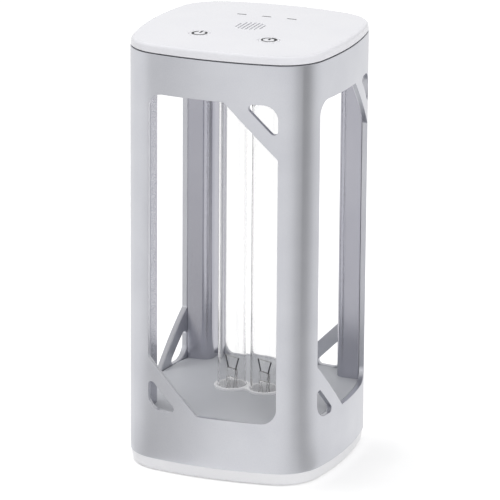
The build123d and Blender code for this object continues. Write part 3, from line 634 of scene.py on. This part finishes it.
def frame_side(quarter):
    """One side of the frame: outer and inner sheet, the rims of its openings and its two edges."""
    openings = window_loops()
    if quarter == 2:
        openings.append(gland_loop())
    columns = np.linspace(-cell_half, cell_half, frame_columns)
    patches = []
    for depth, edge in ((0.0, frame_outer_edge), (frame_wall, frame_inner_edge)):
        border = box_border(columns, np.linspace(base_top + edge, frame_top - edge, frame_rows))
        holes = [grown(loop, edge) for loop in openings]
        patches.append(sheet_patch(border, holes, frame_spacing, lambda flat: on_side_wall(flat, depth)))
    outer, inner = edge_arc(frame_outer_edge), edge_arc(frame_inner_edge)[::-1]
    section = np.vstack([points_of(frame_outer_edge - outer[:, 0], outer[:, 1]),
                         points_of(frame_inner_edge - inner[:, 0], frame_wall - inner[:, 1])])
    patches += [strip_patch(loop, section, on_side_wall) for loop in openings]
    for height, upward in ((base_top, 1), (frame_top, -1)):
        flat = points_of(columns, height + upward * section[:, :1])
        patches.append(grid_patch(on_side_wall(flat, section[:, 1:]), wrap_columns=False))
    return [turned(patch, quarter) for patch in patches]


make_piece("silver_frame", sum([frame_side(quarter) for quarter in range(4)], []), "frame_silver",
           replaces=["frame_shell"])


# Corner posts

def jamb_y(x):
    """Where a line at x, parallel to Y, ends a gap short of the frame's front left inner corner."""
    return -corner_place - math.sqrt((corner_radius - frame_wall - post_gap)**2 - (x + corner_place)**2)


def corner_post(quarter):
    """Moulded channel in one corner, with its two screw bosses."""
    near, far = -window_half, -window_half - post_wall
    section = [(near, jamb_y(near)), (near, near), (jamb_y(near), near),
               (jamb_y(far), far), (far, far), (far, jamb_y(far))]
    radii = [post_edge_radius, post_corner, post_edge_radius,
             sharp_corner, post_corner - post_wall, sharp_corner]
    patches = plate_patches(rounded_loop(section, radii, 3.0), [], post_low, post_high, step=1.0)
    for low, high in ((post_low, post_low + boss_height), (post_high - boss_height, post_high)):
        boss = [(0, low), (boss_radius, low), (boss_radius, high), (0, high)]
        patches.append(grid_patch(lathe_rows(boss, -boss_place, -boss_place, 24)))
    return [turned(patch, quarter) for patch in patches]


for quarter, corner in enumerate(("front_left", "front_right", "rear_right", "rear_left")):
    make_piece(f"post_{corner}_moulding", corner_post(quarter), "post_grey", replaces=[f"post_{corner}"])


# Chamber floor and the tube's collar

def corner_places(distance):
    """The four plan points at a distance from both middle planes."""
    return [(side * distance, hand * distance) for side in (-1, 1) for hand in (-1, 1)]


def twin_loop(radius, waist_radius=3.0, steps=14):
    """Outline round the two tubes: two circles joined by a hollow fillet on each side of the waist.

    The fillet's centre is waist_radius outside both circles, so its height over the middle is
    the root of (radius + waist_radius) squared less tube_x squared.
    """
    rise = math.sqrt((radius + waist_radius)**2 - tube_x**2)
    lean = math.atan2(rise, tube_x)
    lobe = direction(np.linspace(-(math.pi - lean), math.pi - lean, 4 * steps))
    hollow = direction(np.linspace(-lean, lean - math.pi, steps + 2)[1:-1])
    right, top = np.array([tube_x, 0]) + radius * lobe, np.array([0, rise]) + waist_radius * hollow
    return np.vstack([right, top, -right, -top]), np.vstack([lobe, -hollow, -lobe, hollow])


collar_loop = twin_loop(cap_lobe_radius)
cap_skirt = cap_skirt_radius - cap_lobe_radius
cap_hole = grown(collar_loop, cap_skirt + cap_gap), collar_loop[1]
screw_holes = [round_loop(x, y, screw_hole_radius, 20) for x, y in corner_places(boss_place)]
make_piece("chamber_floor",
           plate_patches(plan_loop(frame_wall + frame_gap), [cap_hole] + screw_holes,
                         floor_bottom, floor_top, step=4.0, edge=floor_edge),
           "floor_metal", replaces=["floor_plate"])


def collar_patches():
    """Cap of the tube: rounded collar, ribbed bores that grip the glass, and a plug under the floor.

    A bore's radius is the tube's plus rib_gap, plus rib_height times (1 + cos(rib_count * turn)) / 2.
    """
    seat, well_bottom = tube_bottom, cap_bottom + well_floor
    section = np.vstack([upper_edge(collar_edge, cap_top),
                         [[0.0, floor_top], [cap_skirt, floor_top], [cap_skirt, cap_bottom]]])
    lip = [(bore_lip, cap_top), (bore_lip_middle, cap_top - bore_lip_middle),
           (0, cap_top - bore_lip), (0, seat)]
    turn = full_turn(rib_count * 8)
    ripple = tube_radius + rib_gap + rib_height * (0.5 + 0.5 * np.cos(rib_count * turn))[:, None]
    patches = [strip_patch(collar_loop, section)]
    bores = []
    for side in (-1, 1):
        bore = np.array([side * tube_x, 0]) + ripple * direction(turn), direction(turn)
        bores.append(grown(bore, bore_lip))
        well = round_loop(side * tube_x, 0, well_radius)
        patches += [strip_patch(bore, lip),
                    sheet_patch(bore[0], [well[0]], 2.5, level(seat)),
                    strip_patch(well, [(0, seat), (0, well_bottom)]),
                    sheet_patch(well[0], [], 2.0, level(well_bottom))]
    return patches + [sheet_patch(grown(collar_loop, -collar_edge), bores, 1.2, level(cap_top)),
                      sheet_patch(grown(collar_loop, cap_skirt), [], 3.0, level(cap_bottom))]


make_piece("tube_collar", collar_patches(), "cap_white", replaces=["lamp_cap"])


# Twin glass tube

def on_leg(flat, radius):
    """Point of a leg's surface from its unrolled place (arc length round the leg, length up it).

    Up to the shoulder it is a cylinder. Above it the second number is the arc length up the
    dome, so the point's level is radius times sin(length / radius).
    """
    turn, rise = flat[..., 0] / radius, np.maximum(flat[..., 1], 0) / radius
    across = radius * np.cos(rise)
    height = shoulder + np.minimum(flat[..., 1], 0) + radius * np.sin(rise)
    return points_of(across * np.cos(turn) - tube_x, across * np.sin(turn), height)


def leg_patches(radius, opening):
    """One wall of a leg and its half of the bridge.

    The bridge leaves the leg on a loop of radius opening + fillet seen along X. Its half runs from
    there to the middle plane: its radius is opening + fillet * (1 - sin(swing)) and its distance
    from that plane is the loop's distance times cos(swing), for a swing of 0 to a quarter turn.
    """
    around = np.linspace(-math.pi, math.pi, leg_columns) * radius
    join, last = leg_levels[-1], math.radians(72) * radius
    straight = points_of(around, np.array([tube_bottom - shoulder, *leg_levels])[:, None])
    dome = points_of(around, np.linspace(last, QUARTER * radius, 5)[:, None])
    turn = full_turn(48)
    y, z = (opening + bridge_fillet) * direction(turn).T + np.array([[0], [bridge_z - shoulder]])
    rise = np.maximum(z, 0)
    across = np.sqrt(radius**2 - rise**2)
    mouth = points_of(radius * np.arcsin(y / across), np.where(z > 0, radius * np.arcsin(rise / radius), z))
    swing = np.linspace(0, QUARTER, 8)[:, None]
    size = opening + bridge_fillet * (1 - np.sin(swing))
    x = on_leg(mouth, radius)[:, 0] * np.cos(swing)
    bridge = points_of(x, size * np.cos(turn), bridge_z + size * np.sin(turn))
    return [grid_patch(on_leg(straight, radius), wrap_columns=False),
            sheet_patch(box_border(around, np.linspace(join, last, 14)), [mouth], leg_spacing,
                        lambda flat: on_leg(flat, radius)),
            grid_patch(on_leg(dome, radius), wrap_columns=False), grid_patch(bridge)]


def tube_patches():
    """Outer and inner wall of the twin tube, joined by a rim at the foot of each leg."""
    around = np.linspace(-math.pi, math.pi, leg_columns)
    radii = np.array([[tube_radius], [tube_radius - tube_wall]])
    rim = points_of(radii * np.cos(around) - tube_x, radii * np.sin(around), tube_bottom)
    half = sum([leg_patches(tube_radius - wall, bridge_radius - wall) for wall in (0.0, tube_wall)], [])
    half.append(grid_patch(rim, wrap_columns=False))
    return half + [mirrored(patch) for patch in half]


glass_pieces = [make_piece("twin_quartz_tube", tube_patches(), "tube_glass", replaces=["lamp_tube"])]


def stem_blend(share, radius, ring, slot):
    """Loop of the stem at a share of the way from its round neck to the flat pinch.

    It is the circle, radius times ring, times 1 - flatness plus the slot times flatness, where
    flatness is share squared times (3 - 2 share), which starts and ends level.
    """
    flatness = share * share * (3 - 2 * share)
    return at_height((1 - flatness) * radius * ring + flatness * slot, neck_top + blend_length * share)


def stem_patches():
    """Hollow glass stem: a flare, a neck and the flat pinch, as a stack of loops.

    The flare's radius falls to the neck's as (1 - share) to the power flare_curve. The pinch's top
    is a half round across its thickness. The inner wall is the same less the glass thickness,
    and flattens to a line inside the pinch.
    """
    seat, lip = tube_radius - tube_wall - stem_gap, stem_bottom + stem_lip
    slot, ring = slot_loop(0, 0, pinch_length, pinch_thickness)
    share = np.linspace(0, 1, 12)
    flare = points_of(stem_neck_radius + (seat - stem_neck_radius) * (1 - share)**flare_curve,
                      lip + (neck_top - lip) * share**flare_rise)
    circles = np.vstack([[[seat, stem_bottom]], flare])
    rows = [at_height(radius * ring, height) for radius, height in circles]
    rows += [stem_blend(share, stem_neck_radius, ring, slot) for share in np.linspace(0, 1, 9)[1:]]
    half_thick = pinch_thickness / 2
    for swing in np.linspace(0, QUARTER, 7):
        narrow = 1 - half_thick * (1 - math.cos(swing)) / (pinch_length / 2)
        rows.append(at_height(slot * np.array([narrow, math.cos(swing)]),
                              pinch_top - half_thick + half_thick * math.sin(swing)))
    inner = [at_height((radius - stem_wall) * ring, height) for radius, height in circles]
    hollow = slot * np.array([1 - 2 * stem_wall / pinch_length, 1 - 2 * stem_wall / pinch_thickness])
    inner += [stem_blend(share, stem_neck_radius - stem_wall, ring, hollow)
              for share in np.linspace(0, 0.8, 8)[1:]]
    # The hollow closes to a line just over the pinch's lower end.
    inner.append(at_height(inner[-1][:, :2] * np.array([0.9, 0.0]), pinch_bottom + 0.1))
    return [grid_patch(np.stack(inner[::-1] + rows))]


def smooth_path(points, steps=40):
    """Smooth line through a few points: each coordinate is the polynomial through them, by their order."""
    points = np.asarray(points, float)
    fit = np.polynomial.polynomial.polyfit(np.arange(len(points)), points, len(points) - 1)
    return np.polynomial.polynomial.polyval(np.linspace(0, len(points) - 1, steps), fit)


def lead_patches():
    """Two lead wires that rise through the stem and spread from the pinch to the coil's ends.

    Each is a smooth line through points of (distance from the stem's middle, height).
    """
    lower = [(1.3, stem_bottom - 0.5), (1.6, 37), (2.5, 42), (lead_spread_low, pinch_top - 0.6)]
    upper = [(lead_spread_low, pinch_top - 0.6), (lead_spread_low + 0.3, pinch_top + 1.5),
             (lead_spread_high - 0.7, pinch_top + 4.6), (lead_spread_high, lead_tip - 0.3)]
    patches = []
    for hand in (-1, 1):
        for points, radius in ((lower, lower_lead_radius), (upper, upper_lead_radius)):
            spread, height = smooth_path(points)
            patches.append(tube_patch(points_of(hand * spread, 0.0, height), (0, 1, 0), radius))
    return patches


def coil_patch():
    """Filament: a helix of outer radius coil_radius, strung between the two lead tips."""
    share = np.linspace(0, 1, coil_turns * 14)
    phase = share * coil_turns * 2 * math.pi
    outward = points_of(0.0, np.cos(phase), np.sin(phase))
    middle = points_of((2 * share - 1) * lead_spread_high, 0.0, lead_tip - lead_radius)
    return tube_patch(middle + (coil_radius - coil_wire) * outward, outward, coil_wire, 6)


def seated(patches, side):
    """Patches turned to the electrode's angle and moved to one leg."""
    return [spun(patch, electrode_turn, side * tube_x) for patch in patches]


for side, name in ((-1, "left"), (1, "right")):
    glass_pieces.append(make_piece(f"glass_stem_{name}", seated(stem_patches(), side), "tube_glass",
                                   replaces=[f"stem_{name}"], material=pressed_quartz))
    make_piece(f"lead_wires_{name}", seated(lead_patches(), side), "filament_wire",
               replaces=[f"filament_{name}"])
    make_piece(f"filament_coil_{name}", seated([coil_patch()], side), "filament_wire", material=tungsten)
# Thin clear glass hardly dims the light that passes it, so it stays out of the soft light and the shadows.
for glass in glass_pieces:
    glass.visible_shadow = glass.visible_diffuse = False


# Lid, keys and light guides

def crown(flat):
    """Height of the lid's crown over a plan point: the top of a very large ball."""
    return overall_height - crown_radius + np.sqrt(crown_radius**2 - (flat**2).sum(-1))


def on_crown(flat, drop=0.0):
    """Plan points lifted to the crown and lowered by drop."""
    return at_height(flat, crown(flat) - drop)


def on_opening(flat, drop):
    """Wall of an opening: it follows the crown, lower by drop, and ends at the ceiling."""
    return at_height(flat, np.where(drop < to_ceiling, crown(flat) - drop, lid_ceiling))


def on_rim(flat, rim):
    """Plan points on the crown, but a point of the rim's last row keeps the height that the row has."""
    gap = np.linalg.norm(flat[:, None] - rim[None, :, :2], axis=2)
    return at_height(flat, np.where(gap.min(1) < 1e-4, rim[gap.argmin(1), 2], crown(flat)))


def slit_loops(extra_length, width):
    """The three slits of the lid, each longer by extra_length and of the given width."""
    return [slot_loop(step * slit_pitch, slit_y, slit_length + extra_length, width) for step in (-1, 0, 1)]


def lid_openings():
    """Loops of everything cut through the lid's top: two key holes, three slits and the grille."""
    loops = [round_loop(side * key_x, key_y, key_radius + key_gap, 96) for side in (-1, 1)]
    loops += slit_loops(0.0, slit_width)
    for step in range(-grille_half_count, grille_half_count + 1):
        x = step * grille_pitch
        length = 2.0 * math.sqrt(grille_radius**2 - x**2)
        loops.append(slot_loop(x, 0, length, grille_slot_width, upright=True))
    return loops


def lid_patches():
    """Lid as a closed shell: drafted wall, rounded rim, crowned top and the inside.

    The rim's arc touches the wall and the crown: its centre lies lid_edge_radius under the crown,
    and its normal turns from the wall's draft to straight up.
    """
    rim_height = crown(plan(TURNS, lid_gap + lid_lean + lid_edge_radius)) - lid_edge_radius
    swing = np.linspace(lid_draft, QUARTER, 9)[:, None]
    touch = rim_height + lid_edge_radius * math.sin(lid_draft)
    wall_inset = lid_gap + (touch - lid_bottom) * math.tan(lid_draft)
    centre_inset = wall_inset + lid_edge_radius * math.cos(lid_draft)
    rim = at_height(plan(TURNS, centre_inset - lid_edge_radius * np.cos(swing)),
                    rim_height + lid_edge_radius * np.sin(swing))
    arc = edge_arc(lid_foot_edge)
    foot = at_height(plan(TURNS, lid_gap + lid_foot_edge - arc[:, :1]), lid_bottom + arc[:, 1:])
    openings = lid_openings()
    through = [(opening_edge, 0.0), (opening_edge_middle, opening_edge_middle),
               (0.0, opening_edge), (0.0, to_ceiling)]
    skirt_low, skirt_high = lid_bottom - lid_skirt_depth, lid_ceiling + lid_skirt_root
    skirt_inner = lid_skirt_inset + lid_skirt_wall
    return [
        grid_patch(np.concatenate([foot, rim])),
        wall_patch([(lid_gap + lid_foot_edge, lid_bottom), (lid_wall, lid_bottom), (lid_wall, lid_ceiling)]),
        sheet_patch(rim[-1, :, :2], [grown(loop, opening_edge) for loop in openings], 2.5,
                    lambda flat: on_rim(flat, rim[-1])),
        sheet_patch(plan(TURNS, lid_wall), [loop[0] for loop in openings], 5.0, level(lid_ceiling)),
        *(strip_patch(loop, through, on_opening) for loop in openings),
        wall_patch([(lid_skirt_inset, skirt_low), (skirt_inner, skirt_low),
                    (skirt_inner, skirt_high), (lid_skirt_inset, skirt_high)], closed=True),
    ]


make_piece("lid_cover", lid_patches(), "lid_white", replaces=["lid"])


def key_patches(x):
    """Key: its top follows the crown, with a fine rounded rim, over a flange and a stem.

    The rim's rows are (radius, drop under the crown), and the rows below are (radius, height).
    """
    flange_top = lid_ceiling - key_flange_gap
    flange_low = flange_top - key_flange
    rim = np.array([(0.0, 0.0), (2.0, 0.0), (4.0, 0.0), (5.2, 0.0),
                    (key_radius - 0.15, 0.0), (key_radius - 0.045, 0.035), (key_radius, 0.12)])
    flat = lathe_rows(rim, x, key_y, 96)[..., :2]
    below = [(key_radius, flange_top), (key_flange_radius, flange_top), (key_flange_radius, flange_low),
             (key_stem_radius, flange_low), (key_stem_radius, key_bottom), (0, key_bottom)]
    return [grid_patch(np.concatenate([on_crown(flat, rim[:, 1:]), lathe_rows(below, x, key_y, 96)]))]


def stroke_patch(path, width, raised=0.03, sunk=0.05):
    """Printed stroke along a path of plan points: a flat band, raised over the crown and partly sunk."""
    along = np.gradient(path, axis=0)
    along /= np.linalg.norm(along, axis=1, keepdims=True)
    side = points_of(-along[:, 1], along[:, 0]) * width / 2
    rows = [on_crown(path + side, -raised), on_crown(path - side, -raised),
            on_crown(path - side, sunk), on_crown(path + side, sunk)]
    points, faces = grid_patch(np.stack(rows), wrap_rows=True, wrap_columns=False)
    ends = np.arange(4) * len(path)
    return points, np.vstack([faces, [ends[::-1], ends + len(path) - 1]])


def arc_stroke(x, start, end, share=1.0):
    """Printed arc of a key's ring between two angles in degrees, share of the stroke wide."""
    path = np.array([x, key_y]) + ring_radius * direction(np.radians(np.linspace(start, end, 64)))
    return stroke_patch(path, stroke * share)


def bar_stroke(x, low, high):
    """Printed short line towards +Y on a key."""
    return stroke_patch(points_of(x, key_y + np.linspace(low, high, 6)), stroke)


# The power mark is a ring that is open under its bar. The timer mark is a thin ring with a bold quarter.
power_mark = [arc_stroke(-key_x, 118, 422), bar_stroke(-key_x, 0.6, 5.0)]
timer_mark = [arc_stroke(key_x, 96, 364, 0.8), arc_stroke(key_x, 4, 88, 1.35), bar_stroke(key_x, -0.6, 2.6)]
for side, name, mark in ((-1, "power", power_mark), (1, "timer", timer_mark)):
    body, key = f"{name}_button", f"{name}_key"
    make_piece(f"{key}_cap", key_patches(side * key_x), "key_white", body, [key])
    make_piece(f"{name}_mark", mark, "seam_black", body, material=ink)


def guide_patches():
    """Three light guides: a bar that fills its slit just under the crown, over a wider foot."""
    patches = []
    foot_bottom = lid_ceiling - guide_foot
    bars, feet = slit_loops(-guide_gap, slit_width - guide_gap), slit_loops(guide_foot_rim, guide_foot_width)
    for (bar, _), (foot, _) in zip(bars, feet):
        rows = [on_crown(bar, guide_sunk), at_height(bar, lid_ceiling), at_height(foot, lid_ceiling),
                at_height(foot, foot_bottom)]
        patches += [sheet_patch(bar, [], 0.5, lambda flat: on_crown(flat, guide_sunk)),
                    grid_patch(np.stack(rows)), sheet_patch(foot, [], 1.0, level(foot_bottom))]
    return patches


make_piece("smoked_light_guides", guide_patches(), "guide_clear", replaces=["indicator_guides"])


# Base, feet and cord gland

def base_patches():
    """Base: tapered ring with a rounded lower edge, a lip inside the frame, and a floor with vents.

    The ring's wall leans from base_bottom_inset at the bottom to base_top_inset at the top. The
    lower edge is an arc whose normal turns from straight down to the wall's own.
    """
    lean = math.atan2(base_bottom_inset - base_top_inset, base_top - base_bottom)
    floor_height, roof = base_bottom + base_floor, base_bottom + foot_recess
    centre_height = base_bottom + base_edge_radius
    swing = np.linspace(-QUARTER, -lean, 8)
    touch = centre_height + base_edge_radius * math.sin(-lean)
    wall_inset = base_bottom_inset - (touch - base_bottom) * math.tan(lean)
    centre_inset = wall_inset + base_edge_radius * math.cos(lean)
    lower = np.array([centre_inset, centre_height]) + base_edge_radius * direction(swing) * (-1, 1)
    upper = np.array([base_top_inset, 0]) + upper_edge(base_top_edge, base_top)[::-1] * (-1, 1)
    lip = frame_wall + frame_gap
    rest = [(lip, base_top), (lip, base_lip_top - base_lip_edge), (lip + base_lip_edge, base_lip_top),
            (base_wall_inset, base_lip_top), (base_wall_inset, floor_height)]
    vents = [slot_loop(step * vent_pitch, 0, vent_length, vent_width, upright=True)
             for step in range(-vent_half_count, vent_half_count + 1)]
    recesses = [round_loop(x, y, foot_radius + foot_gap, 40) for x, y in corner_places(foot_place)]
    return [
        wall_patch(np.vstack([lower, upper, rest])),
        sheet_patch(plan(TURNS, lower[0, 0]), [loop[0] for loop in vents + recesses], 4.0,
                    level(base_bottom)),
        sheet_patch(plan(TURNS, base_wall_inset), [loop[0] for loop in vents], 4.0, level(floor_height)),
        *(strip_patch(loop, [(0, base_bottom), (0, floor_height)]) for loop in vents),
        *(strip_patch(loop, [(0, base_bottom), (0, roof)]) for loop in recesses),
        *(sheet_patch(loop[0], [], 2.0, level(roof)) for loop in recesses),
    ]


make_piece("white_base", base_patches(), "base_white", replaces=["base_tray"])
# Section of a foot as (radius, height) points: a flat face, a small rounding and a round side
pad = [(0, 0), (foot_radius - 0.6, 0), (foot_radius - 0.2, 0.1), (foot_radius, 0.35),
       (foot_radius, pad_top), (0, pad_top)]
make_piece("rubber_pads", [grid_patch(lathe_rows(pad, x, y, 40)) for x, y in corner_places(foot_place)],
           "foot_rubber", replaces=["rubber_feet"])


def gland_patches():
    """Rubber grommet as a stack of loops along Y: square ones outside, and circles in the cord's bore.

    A circle's points lie in the same directions from the cord's axis as the square's points do.
    """
    back = half_width - gland_recess
    front, wall_back = back - gland_length, back - frame_wall - gland_gap
    flange_front = wall_back - gland_flange_thickness
    square, axis = gland_loop(), np.array([0.0, gland_z])
    circle = (square[0] - axis) / np.linalg.norm(square[0] - axis, axis=1, keepdims=True)
    squares = [(-gland_gap - gland_edge, back), (-gland_gap - gland_edge_in, back - gland_edge_back),
               (-gland_gap, back - gland_edge), (-gland_gap, wall_back),
               (gland_flange, wall_back), (gland_flange, flange_front),
               (-gland_neck_inset, flange_front), (-gland_neck_inset, front)]
    circles = [(gland_bore_radius, front), (gland_bore_radius, back - gland_mouth),
               (gland_bore_radius + gland_mouth, back)]
    loops = [(grown(square, offset), y) for offset, y in squares]
    loops += [(axis + radius * circle, y) for radius, y in circles]
    rows = [points_of(flat[:, 0], y, flat[:, 1]) for flat, y in loops]
    return [grid_patch(np.stack(rows), wrap_rows=True)]


make_piece("cord_grommet", gland_patches(), "gland_rubber", replaces=["cord_gland"])


# Studio: floor, world, lamps and camera

camera_azimuth, camera_elevation, camera_roll = np.radians((21.1523, 16.5722, 0.4074))
camera_distance, camera_lens, camera_shift = 2.4987, 319.03, (0.00071, -0.00606)
aim = Vector((0.0, 0.001, 0.1196))
world_light, floor_glow = 0.58, 0.37
# Sizes in metres
floor_half, dome_radius, ring_height = 4.0, 3.2, 0.0004
# Azimuth and elevation in degrees, distance and side in metres, and power in watts
softboxes = {"top_softbox": (-100, 70, 1.6, 1.2, 11.5), "front_softbox": (50, 18, 1.8, 1.0, 7.5)}
# Soft gaps in the ring: middle and width in degrees, and depth, close to the lamp and far from it
reflection_gaps = [((-38, 24, 0.38), (-41, 14, 0.30)), ((64, 20, 0.46), (79, 21, 0.75))]
# Brightness of the dome, and its lighter parts: azimuth, width, rise and height in degrees, and gain
sky_level = 0.68
reflection_cards = [(202, 48, 14, 24, 0.1), (-21, 55, 15, 25, 0.4)]


def seen_rays(tree):
    """1 for camera, glossy and transmission rays, and 0 for the diffuse light that reaches the object."""
    path = add_node(tree, "LightPath")
    either = add_node(tree, "Math", {0: path.outputs["Is Camera Ray"], 1: path.outputs["Is Glossy Ray"]},
                      operation="ADD")
    return add_node(tree, "Math", {0: either.outputs[0], 1: path.outputs["Is Transmission Ray"]},
                    operation="ADD", use_clamp=True).outputs[0]


def stage_surface(name, points, faces, material):
    """Surface of the studio that isn't part of the object."""
    mesh = bpy.data.meshes.new(name)
    mesh.from_pydata(points, [], faces)
    mesh.materials.append(material)
    surface = put_in_scene(name, mesh)
    return surface


def studio_floor():
    """Pale floor: matt white paper that also glows a little for the eye, so that only shadows show on it."""
    material, tree = empty_material("matt_white_paper")
    paper = add_node(tree, "BsdfDiffuse", {"Color": srgb("F0F0F0")})
    glow = add_node(tree, "Emission", {"Color": (1, 1, 1, 1), "Strength": floor_glow})
    both = add_node(tree, "AddShader", {0: paper.outputs[0], 1: glow.outputs[0]})
    shown = add_node(tree, "MixShader", {0: seen_rays(tree), 1: paper.outputs[0], 2: both.outputs[0]})
    add_node(tree, "OutputMaterial", {"Surface": shown.outputs[0]})
    corners = [(x * floor_half, y * floor_half, 0) for x, y in ((-1, -1), (1, -1), (1, 1), (-1, 1))]
    stage_surface("studio_floor", corners, [(0, 1, 2, 3)], material)


def studio_world():
    """White surround for the eye and for reflections, and a softer one as light."""
    world = bpy.data.worlds.new("studio")
    bpy.context.scene.world = world
    world.use_nodes = True
    tree = world.node_tree
    tree.nodes.clear()
    strength = add_node(tree, "MapRange", {"Value": seen_rays(tree), "To Min": world_light, "To Max": 1.0})
    shade = add_node(tree, "Background", {"Color": (1, 1, 1, 1), "Strength": strength.outputs["Result"]})
    add_node(tree, "OutputWorld", {"Surface": shade.outputs[0]})


def reflection_surface(name, points, shade):
    """Surface that only reflections see: a grid of points that glows as brightly as shade says."""
    material, tree = empty_material("reflection_paper")
    value = add_node(tree, "Attribute", attribute_name="brightness").outputs["Fac"]
    glow = add_node(tree, "Emission", {"Color": (1, 1, 1, 1), "Strength": value})
    add_node(tree, "OutputMaterial", {"Surface": glow.outputs[0]})
    vertices, faces = grid_patch(points)
    surface = stage_surface(name, vertices.tolist(), faces.tolist(), material)
    surface.data.attributes.new("brightness", "FLOAT", "POINT").data.foreach_set("value", shade.ravel())
    surface.visible_camera = surface.visible_diffuse = surface.visible_shadow = False
    return surface


def heading(azimuth, elevation):
    """Unit vector at an azimuth from -Y towards +X and an elevation."""
    flat = np.cos(elevation)
    return points_of(np.sin(azimuth) * flat, -np.cos(azimuth) * flat, np.sin(elevation))


def bump_curve(value, middle, width):
    """Smooth bump of height 1: exp(-(d / width) squared), where d is the angle to the middle."""
    return np.exp(-(np.angle(np.exp(1j * (value - np.radians(middle)))) / np.radians(width))**2)


def reflection_ring():
    """Ring on the floor for the upright walls' reflections: white less some soft gaps."""
    azimuth = np.radians(np.arange(0, 360, 3.0))
    distance = np.array([0.08, 0.15, 0.4, 1.0, 3.5])[:, None]
    away = np.array([0.0, 0.0, 0.5, 1.0, 1.0])[:, None]
    points = distance[..., None] * heading(azimuth, 0.0) + (0, 0, ring_height)
    shade = np.ones(points.shape[:2])
    for near, far in reflection_gaps:
        middle, width, depth = (a + (b - a) * away for a, b in zip(near, far))
        shade -= depth * bump_curve(azimuth, middle, width)
    reflection_surface("reflection_ring", points, shade).visible_transmission = False


def reflection_dome():
    """Dome for the reflections that rise: an even grey with two soft, lighter parts."""
    azimuth, rise = np.radians(np.arange(0, 360, 3.0)), np.radians(np.arange(0, 91, 5.0))[:, None]
    points = dome_radius * heading(azimuth, rise)
    shade = np.full(points.shape[:2], sky_level)
    for middle, width, middle_rise, height, gain in reflection_cards:
        shade += gain * bump_curve(azimuth, middle, width) * bump_curve(rise, middle_rise, height)
    reflection_surface("reflection_dome", points, shade)


def softbox(name, azimuth, elevation, distance, size, power):
    """Square lamp that looks at the middle of the object from an azimuth and elevation in degrees.

    Reflections see the ring and the dome in its place.
    """
    away = Vector(heading(math.radians(azimuth), math.radians(elevation)))
    data = bpy.data.lights.new(name, "AREA")
    data.shape, data.size, data.energy = "SQUARE", size, power
    lamp = put_in_scene(name, data)
    lamp.visible_glossy = False
    turn = away.to_track_quat("Z", "Y").to_matrix().to_4x4()
    lamp.matrix_world = Matrix.Translation(aim + away * distance) @ turn


def studio_camera():
    """Camera at the photograph's angle: its back points to azimuth and elevation, and it rolls a little."""
    back = Vector(heading(camera_azimuth, camera_elevation))
    level_right = Vector((math.cos(camera_azimuth), math.sin(camera_azimuth), 0))
    right = level_right * math.cos(camera_roll) + back.cross(level_right) * math.sin(camera_roll)
    data = bpy.data.cameras.new("photo_camera")
    data.sensor_fit, data.sensor_width, data.lens = "HORIZONTAL", 36.0, camera_lens
    data.shift_x, data.shift_y = camera_shift
    data.clip_end = 30.0
    camera = put_in_scene("photo_camera", data)
    axes = Matrix((right, back.cross(right), back)).transposed().to_4x4()
    camera.matrix_world = Matrix.Translation(aim + back * camera_distance) @ axes
    bpy.context.scene.camera = camera


studio_floor()
studio_world()
reflection_ring()
reflection_dome()
for name, place in softboxes.items():
    softbox(name, *place)
studio_camera()
bpy.context.scene.view_settings.view_transform = "Standard"
